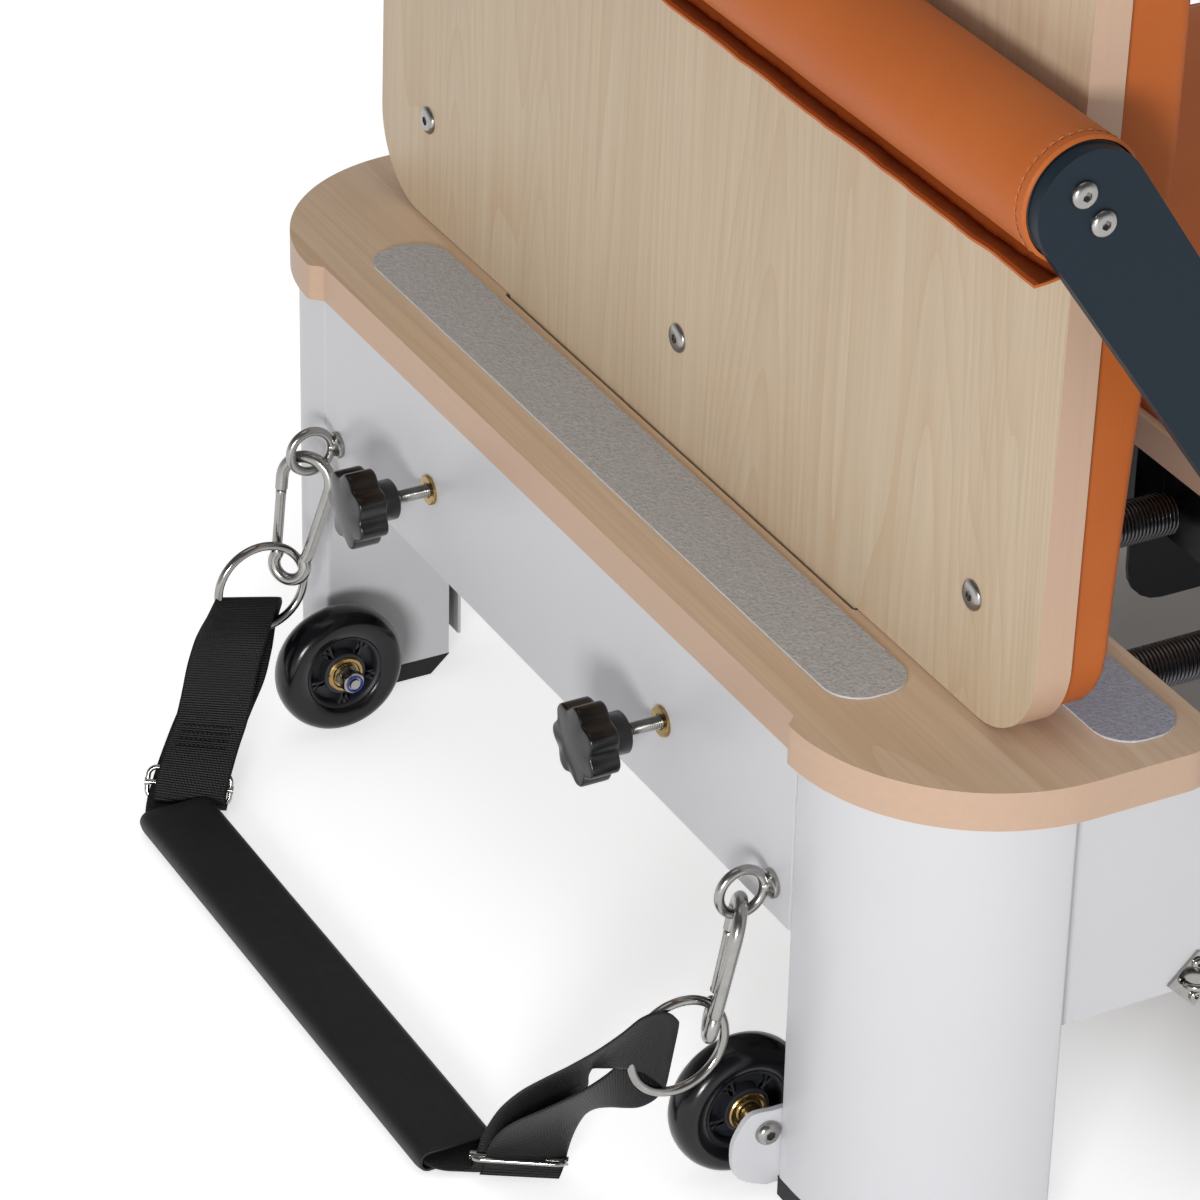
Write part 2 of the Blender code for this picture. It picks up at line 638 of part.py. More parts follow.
# Clamp knobs
def make_knobs():
    for name, side in (("left", 1), ("right", -1)):
        y = side * KNOB_Y
        pivot = add_pivot(f"clamp_knob_{name}_axis", 0, y, KNOB_Z)
        hub = -KNOB_STUD_REACH
        lobes = hub - KNOB_HUB_LENGTH
        face = lobes - KNOB_LOBE_LENGTH
        stud_end = SPRING_BAR_X + SPRING_BAR_THICK + 4
        rings = [(BOLT, 0, stud_end), (BOLT, 0, hub), (KNOB_HUB_RADIUS, 0, hub), (KNOB_HUB_RADIUS, 0, lobes),
                 (KNOB_LOBE_RADIUS - 2, 1, lobes), (KNOB_LOBE_RADIUS, 1, lobes - 2),
                 (KNOB_LOBE_RADIUS, 1, face + 3), (KNOB_LOBE_RADIUS - 3, 1, face),
                 (KNOB_LOBE_RADIUS * 0.55, 0, face - KNOB_DOME * 0.7), (KNOB_LOBE_RADIUS * 0.2, 0, face - KNOB_DOME)]
        shape = bmesh.new()
        loops = []
        steps = 6 * KNOB_LOBES
        for radius, lobed, x in rings:
            loop = []
            for i in range(steps):
                angle = 2 * math.pi * i / steps
                dip = lobed * KNOB_LOBE_DIP * (1 - math.cos(KNOB_LOBES * angle)) / 2
                loop.append(shape.verts.new((x, y + (radius - dip) * math.cos(angle),
                                             KNOB_Z + (radius - dip) * math.sin(angle))))
            loops.append(loop)
        shape.faces.new(loops[0])
        shape.faces.new(loops[-1])
        for first, second in zip(loops, loops[1:]):
            for i in range(steps):
                j = (i + 1) % steps
                shape.faces.new((first[i], first[j], second[j], second[i]))
        add(f"clamp_knob_{name}", shape, "black_plastic", pivot)


# Rails with their hinge ears, the foot bar's lugs, the middle legs and the hinge pins
def rail_outline(side):
    """A channel open inwards, with a track for the rollers; points are (y, z)."""
    outer, wall, inner = RAIL_OUTER, RAIL_OUTER - SHEET, RAIL_INNER
    track = RAIL_OUTER - SHEET - RAIL_TRACK_WIDTH
    points = [(outer, RAIL_BOTTOM), (outer, DECK), (inner, DECK), (inner, DECK - SHEET), (wall, DECK - SHEET),
              (wall, TRACK_TOP), (track, TRACK_TOP), (track, TRACK_TOP - SHEET), (wall, TRACK_TOP - SHEET),
              (wall, RAIL_BOTTOM + SHEET), (inner, RAIL_BOTTOM + SHEET), (inner, RAIL_BOTTOM)]
    return [(side * y, z) for y, z in points]


def ear_outline(toward):
    """A plate from the rail's top up to the hinge; toward is -1 on the foot rail, +1 on the head rail."""
    base = DECK - WELD
    points = [(HINGE_X + toward * EAR_LENGTH, base), (HINGE_X + toward * 4, base)]
    points += [(HINGE_X + x * -toward, z) for x, z in arc(0, HINGE_Z, EAR_ROUND, -20, 140, 10)]
    return points


def make_ear(side, toward):
    low = EAR_Y if toward < 0 else EAR_Y + EAR_THICK + CLEAR
    ear = prism(ear_outline(toward), side * low, side * (low + EAR_THICK), "Y")
    return ear


def make_foot_rails():
    for name, side in (("left", 1), ("right", -1)):
        rail = add(f"foot_rail_{name}", prism(rail_outline(side), RAIL_START, HINGE_X - CLEAR, "X"), "white_paint")
        reach = ARM_INNER + ARM_THICK + CLEAR
        lug = [(LUG_RADIUS, RAIL_OUTER - WELD), (LUG_RADIUS, ARM_INNER - CLEAR), (PIVOT_PIN, ARM_INNER - CLEAR),
               (PIVOT_PIN, reach), (PIVOT_HEAD, reach), (PIVOT_HEAD, reach + PIVOT_HEAD_THICK)]
        combine(rail, "UNION", make_ear(side, -1),
                turned([(r, side * y) for r, y in lug], (FOOT_PIVOT_X, 0, FOOT_PIVOT_Z), "Y", 24))
        hole = rod((HINGE_X, 0, HINGE_Z), HINGE_PIN + PIN_PLAY, side * (EAR_Y - 5), side * (EAR_Y + EAR_THICK + 5),
                   "Y", 16)
        combine(rail, "DIFFERENCE", hole)
        low, high = EAR_Y - CLEAR, EAR_Y + 2 * EAR_THICK + 2 * CLEAR
        pin = [(HINGE_PIN_HEAD, low - 4), (HINGE_PIN_HEAD, low), (HINGE_PIN, low), (HINGE_PIN, high),
               (HINGE_PIN_HEAD, high), (HINGE_PIN_HEAD, high + 4)]
        add(f"hinge_pin_{name}", turned([(r, side * y) for r, y in pin], (HINGE_X, 0, HINGE_Z), "Y", 16), "steel")


def make_middle_legs():
    outer, inner = RAIL_OUTER, RAIL_OUTER - MIDDLE_LEG_WIDTH
    top = RAIL_BOTTOM - CLEAR
    bar_top = MIDDLE_BAR_Z + MIDDLE_BAR_HEIGHT
    half = [(0, MIDDLE_BAR_Z), (inner, MIDDLE_BAR_Z), (inner, 0), (outer, 0), (outer, top), (inner, top),
            (inner, bar_top), (0, bar_top)]
    outline = half + [(-y, z) for y, z in reversed(half[1:-1])]
    legs = add("middle_leg_frame", prism(outline, MIDDLE_LEG_X, MIDDLE_LEG_X + MIDDLE_LEG_DEPTH, "X"), "white_paint")
    wall = 2 * SHEET
    hollows = [block(MIDDLE_LEG_X + wall, MIDDLE_LEG_X + MIDDLE_LEG_DEPTH + 5, side * (inner + wall),
                     side * (outer - wall), wall, top - wall) for side in (1, -1)]
    hollows.append(block(MIDDLE_LEG_X + wall, MIDDLE_LEG_X + MIDDLE_LEG_DEPTH + 5, -inner, inner,
                         MIDDLE_BAR_Z + wall, bar_top - wall))
    combine(legs, "DIFFERENCE", *hollows)


# Jump board
def lean(x, y, height):
    """A point of the jump board: x behind its front face, height along the board from the platform."""
    c, s = math.cos(PANEL_LEAN), math.sin(PANEL_LEAN)
    return (PANEL_FACE_X + x * c + height * s, y, TOP - x * s + height * c)


def make_jump_board():
    seat = CLEAR + PANEL_THICK * math.tan(PANEL_LEAN)
    pivot = add_pivot("jump_board_slot", *lean(0, 0, 0))
    half = [(TONGUE_HALF_WIDTH, -TONGUE_DEPTH), (TONGUE_HALF_WIDTH, seat)]
    half += arc(PANEL_HALF_WIDTH - PANEL_ROUND, seat + PANEL_ROUND, PANEL_ROUND, -90, 0, 8)
    half += arc(PANEL_HALF_WIDTH - PANEL_ROUND, PANEL_HEIGHT - PANEL_ROUND, PANEL_ROUND, 0, 90, 8)
    outline = half + [(-y, h) for y, h in reversed(half)]
    panel = prism(outline, 0, PANEL_THICK, "X")
    for corner in panel.verts:
        corner.co = lean(*corner.co)
    add("jump_board_panel", panel, "maple", pivot)
    inset = JUMP_PAD_INSET
    base = PANEL_THICK + CLEAR
    pad = cushion(-PANEL_HALF_WIDTH + inset, PANEL_HALF_WIDTH - inset, seat + inset, PANEL_HEIGHT - inset, 0,
                  JUMP_PAD_THICK, PANEL_ROUND - inset, 4, 2, lambda y, h, x: lean(base + x, y, h))
    add("jump_board_pad", pad, "orange_leather", pivot)


# Foot bar
def make_foot_bar():
    bar_z = TOP + BAR_HEIGHT
    pivot = add_pivot("foot_bar_axis", FOOT_PIVOT_X, 0, FOOT_PIVOT_Z)
    centre = (BAR_X, 0, bar_z)
    end = ARM_INNER - CLEAR
    inner = BAR_RADIUS - BAR_WALL
    bar = [(BAR_RADIUS, -end), (BAR_RADIUS, end), (inner, end), (inner, -end)]
    add("foot_bar_tube", turned(bar, centre, "Y", 24, True), "slate_paint", pivot)
    hug = BAR_RADIUS + CLEAR
    edge = 4
    sleeve = [(hug, -end), (SLEEVE_RADIUS - edge, -end), (SLEEVE_RADIUS, edge - end), (SLEEVE_RADIUS, end - edge),
              (SLEEVE_RADIUS - edge, end), (hug, end)]
    add("foot_bar_sleeve", turned(sleeve, centre, "Y", 32, True), "orange_leather", pivot)
    run = Vector((FOOT_PIVOT_X - BAR_X, FOOT_PIVOT_Z - bar_z))
    angle = math.degrees(math.atan2(run.y, run.x))
    outline = arc(BAR_X, bar_z, ARM_END_ROUND, angle + 90, angle + 270, 12)
    outline += arc(FOOT_PIVOT_X, FOOT_PIVOT_Z, ARM_PIVOT_ROUND, angle - 90, angle + 90, 10)
    hole = circle(FOOT_PIVOT_X, FOOT_PIVOT_Z, PIVOT_PIN + PIN_PLAY, 20)
    for name, side in (("left", 1), ("right", -1)):
        arm = prism(outline, side * ARM_INNER, side * (ARM_INNER + ARM_THICK), "Y", [hole])
        add(f"foot_bar_arm_{name}", arm, "slate_paint", pivot)


# Foot strap
HOOK_PLACES = {
    # name: (side, yaw of the hook's own plane, which of its sides opens, how high it rides in its eye)
    "left": (1, -46.0, -1, 2.0),
    "right": (-1, 61.0, 1, 0.5),
}


def hook_frame(name):
    """Place and directions of a snap hook: its top hangs in the eye, its foot holds the ring."""
    side, yaw, _, lift = HOOK_PLACES[name]
    drop = EYE_RADIUS - EYE_WIRE - HOOK_WIRE - CLEAR - lift
    foot_lean = HOOK_LEAN
    top = Vector((EYE_X, side * EYE_Y, EYE_Z - drop))
    down = Vector((-math.sin(math.radians(foot_lean)), 0, -math.cos(math.radians(foot_lean))))
    flat = Vector((math.cos(math.radians(yaw)), math.sin(math.radians(yaw)), 0))
    flat = (flat - down * flat.dot(down)).normalized()
    return top, down, flat


def hook_shape():
    """Centre line of a snap hook from its gate's latch round to the gate's hinge.

    Points are (across, down) from the top; the straight sides touch the two end rounds.
    """
    span = HOOK_LENGTH - 2 * HOOK_WIRE
    top_centre, foot_centre = HOOK_TOP_ROUND, span - HOOK_FOOT_ROUND
    taper = math.degrees(math.asin((HOOK_TOP_ROUND - HOOK_FOOT_ROUND) / (foot_centre - top_centre)))
    top = arc(0, -top_centre, HOOK_TOP_ROUND, -taper, 180 + taper, 12)
    foot = arc(0, -foot_centre, HOOK_FOOT_ROUND, 180 + taper, 360 - taper, 8)
    gate_top, gate_foot = Vector(top[0]), Vector(foot[-1])
    latch = gate_foot.lerp(gate_top, GATE_HIGH)
    hinge = gate_foot.lerp(gate_top, GATE_LOW)
    return [tuple(latch)] + top + foot + [tuple(hinge)], latch, hinge


def make_hooks(strap):
    path, latch, hinge = hook_shape()
    for name, (_, _, opens, _) in HOOK_PLACES.items():
        top, down, flat = hook_frame(name)

        def to_world(point):
            return top + flat * point[0] * opens - down * point[1]

        add(f"carabiner_{name}", tube([to_world(p) for p in path], HOOK_WIRE, 10), "steel", strap)
        at = to_world(hinge)
        pivot = add_pivot(f"carabiner_gate_{name}_axis", at.x, at.y, at.z, strap)
        toward = (latch - hinge).normalized()
        ends = [to_world(hinge + toward * GATE_HINGE_GAP), to_world(latch - toward * GATE_LATCH_GAP)]
        add(f"carabiner_gate_{name}", tube(ends, GATE_WIRE, 10), "steel", pivot)


def smooth_path(points, steps):
    """A smooth curve through hand-picked points, read a few times between each two."""
    points = [Vector(p) for p in points]
    ends = [2 * points[0] - points[1]] + points + [2 * points[-1] - points[-2]]
    path = []
    for a, b, c, d in zip(ends, ends[1:], ends[2:], ends[3:]):
        for k in range(steps):
            t = k / steps
            path.append(0.5 * (2 * b + (c - a) * t + (2 * a - 5 * b + 4 * c - d) * t * t
                               + (3 * b - a - 3 * c + d) * t * t * t))
    return path + [points[-1]]


# Each webbing runs from inside the handle through a buckle to its ring, round the ring's wire and
# back beside itself. A point gives the middle of its two layers, the direction across them and
# half the distance between them.
WEB_ROUTES = {
    "right": [((-137, -150, 7.5), (1, 0, 0), 3.8), ((-137, -169, 7.5), (1, 0, 0), 3.7),
              ((-136.5, -188, 8.5), (1, 0.05, 0), 3.6), ((-131, -205, 15), (0.93, 0.36, 0), 4.2),
              ((-120, -220, 32), (0.9, 0.2, -0.25), 4.4), ((-110, -232, 56), (0.75, -0.2, -0.6), 5.0),
              ((-101, -248, 78), (0.35, -0.1, -0.9), 5.4), ((-90, -256, 92), (0.1, 0, -1), 6.4),
              ((-73, -256, 101.5), (-0.1, 0, -1), 5.8), ((-59, -256, 104.5), (-0.25, 0, -1), 5.0)],
    "left": [((-137, 165, 7.5), (1, 0, 0), 3.8), ((-137, 183, 7.5), (1, 0, 0), 3.7),
             ((-136.5, 201, 8.5), (1, -0.05, 0), 3.6), ((-130, 216, 15), (0.85, -0.53, 0), 4.2),
             ((-117, 229, 31), (0.9, -0.4, -0.1), 4.4), ((-100, 239, 47), (0.94, -0.25, -0.2), 6.0),
             ((-80, 249, 63), (0.96, -0.15, -0.25), 8.0), ((-62, 256, 81), (0.95, -0.1, -0.28), 8.0),
             ((-55, 256, 92), (0.95, -0.1, -0.3), 8.0)],
}
WEB_ROUTE_STEPS = 3
WEB_TURN_STEPS = 8
BUCKLE_STEPS = 9           # how far along its route a webbing passes its buckle


def webbing_layers(name):
    """Middle points, cross directions, normals and half distances along a webbing's route."""
    route = WEB_ROUTES[name]
    middle = smooth_path([point for point, _, _ in route], WEB_ROUTE_STEPS)
    widths = smooth_path([across for _, across, _ in route], WEB_ROUTE_STEPS)
    gaps = [v.x for v in smooth_path([(gap, 0, 0) for _, _, gap in route], WEB_ROUTE_STEPS)]
    normals = []
    for i, across in enumerate(widths):
        along = (middle[min(i + 1, len(middle) - 1)] - middle[max(i - 1, 0)]).normalized()
        normals.append(along.cross(across - along * across.dot(along)).normalized())
    return middle, widths, normals, gaps


def make_webbing(name, strap):
    middle, widths, normals, gaps = webbing_layers(name)
    out = [point + normal * gap for point, normal, gap in zip(middle, normals, gaps)]
    back = [point - normal * gap for point, normal, gap in zip(middle, normals, gaps)]
    ahead = (middle[-1] - middle[-2]).normalized()
    turn = []
    for k in range(1, WEB_TURN_STEPS):
        angle = math.pi * k / WEB_TURN_STEPS
        turn.append(middle[-1] + (normals[-1] * math.cos(angle) + ahead * math.sin(angle)) * gaps[-1])
    across = widths + [widths[-1]] * len(turn) + widths[::-1]
    add(f"strap_webbing_{name}", ribbon(out + turn + back[::-1], across, WEB_WIDTH, WEB_THICK), "webbing", strap)


def make_buckle(name, strap):
    """A flat frame with a middle bar between the webbing's layers."""
    middle, _, normals, _ = webbing_layers(name)
    at = BUCKLE_STEPS
    along = normals[at]
    ahead = (middle[at + 1] - middle[at - 1]).normalized()
    across = along.cross(ahead)
    wide, deep = BUCKLE_WIDTH / 2, BUCKLE_DEPTH / 2
    tall = deep - BUCKLE_WIRE - BUCKLE_BAR / 2
    slots = [rounded(BUCKLE_WIRE - wide, wide - BUCKLE_WIRE, low, low + tall, 1.2, 2)
             for low in (BUCKLE_BAR / 2, BUCKLE_WIRE - deep)]
    buckle = prism(rounded(-wide, wide, -deep, deep, 4, 3), -BUCKLE_WIRE / 2, BUCKLE_WIRE / 2, holes=slots)
    for corner in buckle.verts:
        corner.co = middle[at] + across * corner.co.x + along * corner.co.y + ahead * corner.co.z
    add(f"strap_buckle_{name}", buckle, "steel", strap)


def make_strap(strap):
    for name, side in (("left", 1), ("right", -1)):
        points = ring_points((STRAP_RING_X[name], side * EYE_Y, STRAP_RING_Z[name]), STRAP_RING_RADIUS, 36)
        add(f"strap_ring_{name}", tube(points, STRAP_RING_WIRE, 8, True), "steel", strap)
        make_webbing(name, strap)
        make_buckle(name, strap)
    half, tall = HANDLE_WIDTH / 2, HANDLE_HEIGHT / 2
    outline = rounded(HANDLE_X - half, HANDLE_X + half, HANDLE_Z - tall, HANDLE_Z + tall, tall * 0.9, 4)
    half, tall = half - HANDLE_WALL, tall - HANDLE_WALL
    bore = rounded(HANDLE_X - half, HANDLE_X + half, HANDLE_Z - tall, HANDLE_Z + tall, tall * 0.6, 4)
    add("strap_handle", prism(outline, HANDLE_NEAR_Y, HANDLE_FAR_Y, "Y", [bore]), "black_rubber", strap)


# Carriage
def make_carriage(carriage):
    board_low = CARRIAGE_TOP - CARRIAGE_BOARD_THICK
    peg_x = SHOULDER_X + SHOULDER_THICK / 2
    pegs = [circle(peg_x, side * SHOULDER_Y, SHOULDER_PEG + PEG_PLAY, 16) for side in (1, -1)]
    outline = rounded(CARRIAGE_X, CARRIAGE_END, -CARRIAGE_HALF_WIDTH, CARRIAGE_HALF_WIDTH, CARRIAGE_BOARD_ROUND)
    add("carriage_board", prism(outline, board_low, CARRIAGE_TOP, holes=pegs), "beech", carriage)
    base = CARRIAGE_TOP + CLEAR
    half = CARRIAGE_HALF_WIDTH - PAD_MARGIN
    pad = cushion(CARRIAGE_X + PAD_MARGIN, PAD_END, -half, half, base, PAD_THICK, PAD_ROUND, 6, 3)
    add("carriage_pad", pad, "orange_leather", carriage)

    head_end = CARRIAGE_END - HEADREST_REAR_MARGIN
    head_front = head_end - HEADREST_LENGTH
    hinge = add_pivot("headrest_axis", head_front, 0, base, carriage)
    rest = cushion(head_front, head_end, -HEADREST_HALF_WIDTH, HEADREST_HALF_WIDTH, base, HEADREST_THICK, 25, 5, 2)
    add("headrest", rest, "orange_leather", hinge)

    for name, side in (("left", 1), ("right", -1)):
        slide = add_pivot(f"shoulder_rest_{name}_slide", peg_x, side * SHOULDER_Y, base, carriage)
        low = base + SHOULDER_RAISE
        height = SHOULDER_HEIGHT - SHOULDER_RAISE
        y0, y1 = side * SHOULDER_Y - SHOULDER_HALF_WIDTH, side * SHOULDER_Y + SHOULDER_HALF_WIDTH

        def upright(y, z, x):
            return (SHOULDER_X + SHOULDER_THICK - x, y, z)

        rest = add(f"shoulder_rest_{name}",
                   cushion(y0, y1, low, low + height, 0, SHOULDER_THICK, 24, 5, 3, upright), "orange_leather", slide)
        foot = base - SHOULDER_PEG_LENGTH
        combine(rest, "UNION", rod((peg_x, side * SHOULDER_Y, 0), SHOULDER_PEG, foot, low + 20, "Z", 16))


def roller_places():
    """Axle x of each roller by name."""
    return {"front": CHASSIS_FRONT_X + ROLLER_INSET, "rear": CHASSIS_REAR_X - ROLLER_INSET}


def make_chassis(carriage):
    top = CARRIAGE_UNDER
    plate, half = CHASSIS_PLATE, CHASSIS_HALF_WIDTH
    chassis = add("carriage_chassis", block(CHASSIS_FRONT_X, CHASSIS_FRONT_X + plate, -half, half,
                                            top - CHASSIS_CROSS_HEIGHT, top), "black_paint", carriage)
    parts = [block(CHASSIS_REAR_X, CHASSIS_REAR_X + plate, -half, half, top - CHASSIS_SIDE_HEIGHT, top)]
    for side in (1, -1):
        parts.append(block(CHASSIS_FRONT_X, CHASSIS_REAR_X + plate, side * (half - plate), side * half,
                           top - CHASSIS_SIDE_HEIGHT, top))
        keel = [(KEEL_FRONT_X, top), (KEEL_FRONT_X, KEEL_BOTTOM + KEEL_ROUND)]
        keel += arc(KEEL_FRONT_X + KEEL_ROUND, KEEL_BOTTOM + KEEL_ROUND, KEEL_ROUND, 180, 270, 5)[1:]
        keel += [(KEEL_FRONT_X + KEEL_LENGTH, KEEL_BOTTOM), (KEEL_FRONT_X + KEEL_LENGTH, top)]
        parts.append(prism(keel, side * KEEL_HALF_WIDTH, side * (KEEL_HALF_WIDTH - plate), "Y"))
        for x in roller_places().values():
            inner, outer = ROLLER_Y - ROLLER_WIDTH / 2, ROLLER_Y + ROLLER_WIDTH / 2
            axle = [(BOLT + 3, half - WELD), (BOLT + 3, inner - CLEAR), (BOLT, inner - CLEAR), (BOLT, outer + 3)]
            parts.append(turned([(r, side * y) for r, y in axle], (x, 0, ROLLER_Z), "Y", 16))
    combine(chassis, "UNION", *parts)


def make_rollers(carriage):
    inner, outer = ROLLER_Y - ROLLER_WIDTH / 2, ROLLER_Y + ROLLER_WIDTH / 2
    for end, x in roller_places().items():
        for name, side in (("left", 1), ("right", -1)):
            pivot = add_pivot(f"roller_{end}_{name}_axis", x, side * ROLLER_Y, ROLLER_Z, carriage)
            profile = [(ROLLER_RADIUS, inner), (ROLLER_RADIUS, outer), (ROLLER_BORE, outer), (ROLLER_BORE, inner)]
            shape = turned([(r, side * y) for r, y in profile], (x, 0, ROLLER_Z), "Y", 24, True)
            add(f"roller_{end}_{name}", shape, "black_rubber", pivot)


# Springs from the spring bar to the carriage's front plate
def spring_route(y):
    start, end = SPRING_BAR_X + SPRING_BAR_THICK + CLEAR, CHASSIS_FRONT_X - CLEAR
    radius, lead = SPRING_RADIUS - SPRING_WIRE, 2 * SPRING_WIRE
    turns = SPRING_CURLS * SPRING_POINTS
    points = [(start, y, KNOB_Z + radius)]
    for i in range(turns + 1):
        angle = 2 * math.pi * i / SPRING_POINTS
        x = start + lead + (end - start - 2 * lead) * i / turns
        points.append((x, y + radius * math.sin(angle), KNOB_Z + radius * math.cos(angle)))
    return points + [(end, y, KNOB_Z + radius)]


def make_springs():
    for index, y in enumerate(SPRING_YS):
        curve = bpy.data.curves.new(f"spring_{index + 1}", "CURVE")
        curve.dimensions = "3D"
        curve.bevel_depth = SPRING_WIRE * MM
        curve.bevel_resolution = 1
        curve.use_fill_caps = True
        route = spring_route(y)
        line = curve.splines.new("POLY")
        line.points.add(len(route) - 1)
        for point, (x, py, z) in zip(line.points, route):
            point.co = ((x + X_SHIFT) * MM, py * MM, z * MM, 1)
        thing = bpy.data.objects.new(curve.name, curve)
        bpy.context.collection.objects.link(thing)
        curve.materials.append(add_material(curve.name, "spring_steel"))
    pitch = (CHASSIS_FRONT_X - SPRING_BAR_X - SPRING_BAR_THICK - 2 * CLEAR - 4 * SPRING_WIRE) / SPRING_CURLS
    print(f"springs: least gap between curls {pitch - 2 * SPRING_WIRE:.2f} mm")


# Head half: rails, legs, and the end beam with its pulley posts
def make_head_half(fold):
    start, end = HINGE_X + CLEAR, FRAME_LENGTH + SETBACK - RAIL_START
    for name, side in (("left", 1), ("right", -1)):
        rail = add(f"head_rail_{name}", prism(rail_outline(side), start, end, "X"), "white_paint", fold)
        combine(rail, "UNION", make_ear(side, 1))
        low = EAR_Y + EAR_THICK + CLEAR
        combine(rail, "DIFFERENCE", rod((HINGE_X, 0, HINGE_Z), HINGE_PIN + PIN_PLAY, side * (low - 4),
                                        side * (low + EAR_THICK + 5), "Y", 16))
        add(f"head_leg_{name}", prism(at_head(leg_outline(), side), 0, DECK), "white_paint", fold)
    beam = add("head_end_beam", prism(beam_outline(FRAME_LENGTH, -1), -BEAM_HALF_WIDTH, BEAM_HALF_WIDTH, "Y"),
               "white_paint", fold)
    axle_z = DECK + POST_HEIGHT - PULLEY_AXLE_DROP
    axle_x = FRAME_LENGTH - PULLEY_RADIUS - 2
    for name, side in (("left", 1), ("right", -1)):
        y = side * POST_Y
        post = rounded(axle_x - POST_WIDTH / 2, axle_x + POST_WIDTH / 2, DECK - 10, DECK + POST_HEIGHT, 8, 4)
        inner = y - POST_THICK / 2
        pin = [(BOLT, 0), (BOLT, POST_THICK / 2 + 2 * CLEAR + PULLEY_WIDTH),
               (BOLT + 4, POST_THICK / 2 + 2 * CLEAR + PULLEY_WIDTH),
               (BOLT + 4, POST_THICK / 2 + 2 * CLEAR + PULLEY_WIDTH + 4)]
        combine(beam, "UNION", prism(post, inner, inner + POST_THICK, "Y"),
                turned([(r, y - side * along) for r, along in pin], (axle_x, 0, axle_z), "Y", 16))
        middle = y - side * (POST_THICK / 2 + CLEAR + PULLEY_WIDTH / 2)
        pivot = add_pivot(f"pulley_{name}_axis", axle_x, middle, axle_z, fold)
        half = PULLEY_WIDTH / 2
        rim = [(PULLEY_RADIUS, half), (PULLEY_BORE, half), (PULLEY_BORE, -half), (PULLEY_RADIUS, -half),
               (PULLEY_RADIUS, 2 - half), (PULLEY_RADIUS - PULLEY_GROOVE, 0), (PULLEY_RADIUS, half - 2)]
        add(f"pulley_{name}", turned(rim, (axle_x, middle, axle_z), "Y", 28, True), "black_plastic", pivot)


def main():
    clear_scene()
    make_platform()
    make_foot_beam()
    make_foot_legs()
    make_eye_bolts()
    make_spring_bar()
    make_wheels()
    make_knobs()
    make_foot_rails()
    make_middle_legs()
    make_jump_board()
    make_foot_bar()
    strap = add_pivot("strap_axis", EYE_X, 0, EYE_Z)
    make_hooks(strap)
    make_strap(strap)
    carriage = add_pivot("carriage_slide", CHASSIS_FRONT_X, 0, ROLLER_Z)
    make_carriage(carriage)
    make_chassis(carriage)
    make_rollers(carriage)
    make_springs()
    fold = add_pivot("fold_axis", HINGE_X, 0, HINGE_Z)
    make_head_half(fold)


main()
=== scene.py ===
"""Looks of the folding pilates reformer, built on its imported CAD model.

Shapes are made in millimetres like the CAD: x from the foot edge of the frame to the head end, y to
the left and z up from the floor. add() turns them into metres in the frame's own place.
"""
import math

import bmesh
import bpy
from mathutils import Matrix, Vector
from mathutils.geometry import tessellate_polygon
from mathutils.noise import noise as noise_at


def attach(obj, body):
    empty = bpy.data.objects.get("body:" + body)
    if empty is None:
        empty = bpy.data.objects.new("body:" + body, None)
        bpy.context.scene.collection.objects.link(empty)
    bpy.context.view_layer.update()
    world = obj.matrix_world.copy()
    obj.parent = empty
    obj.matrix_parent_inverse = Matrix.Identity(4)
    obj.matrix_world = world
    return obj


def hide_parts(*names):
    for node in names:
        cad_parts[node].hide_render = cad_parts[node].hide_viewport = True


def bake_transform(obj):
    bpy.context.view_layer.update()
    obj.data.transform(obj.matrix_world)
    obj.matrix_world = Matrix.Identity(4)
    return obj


MM = 0.001
SHIFT = -1100.0             # the foot edge of the frame in the scene
TOP = 295.0                 # the platform's top above the floor
FRAME_MIRROR = 2361.5       # x of a foot end piece plus x of its copy at the head end
SIDES = (("left", 1), ("right", -1))

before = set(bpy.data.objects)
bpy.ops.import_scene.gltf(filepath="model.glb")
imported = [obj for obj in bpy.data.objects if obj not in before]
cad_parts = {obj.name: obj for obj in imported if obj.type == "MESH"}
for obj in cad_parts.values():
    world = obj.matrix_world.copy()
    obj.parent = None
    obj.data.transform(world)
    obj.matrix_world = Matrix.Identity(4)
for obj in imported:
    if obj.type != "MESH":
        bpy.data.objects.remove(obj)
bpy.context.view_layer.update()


def at(x, y, z):
    """A place in millimetres as a point of the scene."""
    return Vector((x + SHIFT, y, z)) * MM


# Shapes
AXES = {"X": lambda u, v, w: (w, u, v), "Y": lambda u, v, w: (u, w, v), "Z": lambda u, v, w: (u, v, w)}


def bridge(shape, rings, loop=False, wrap=True):
    """Faces between neighbouring rings of points.

    loop also joins the last ring to the first, and wrap closes each ring on itself.
    """
    for first, second in zip(rings, rings[1:] + (rings[:1] if loop else [])):
        count = len(first)
        for k in range(count if wrap else count - 1):
            m = (k + 1) % count
            shape.faces.new((first[k], first[m], second[m], second[k]))


def skin(rings, shape, closed):
    """Join rings into a loop, or close their two ends."""
    if not closed:
        shape.faces.new(rings[0])
        shape.faces.new(rings[-1])
    bridge(shape, rings, closed)
    return shape


def arc(cx, cy, radius, start, end, steps):
    """Points from one angle to another, in degrees."""
    angles = [math.radians(start + (end - start) * i / steps) for i in range(steps + 1)]
    return [(cx + radius * math.cos(a), cy + radius * math.sin(a)) for a in angles]


def circle(cx, cy, radius, steps=32):
    return arc(cx, cy, radius, 0, 360, steps)[:-1]


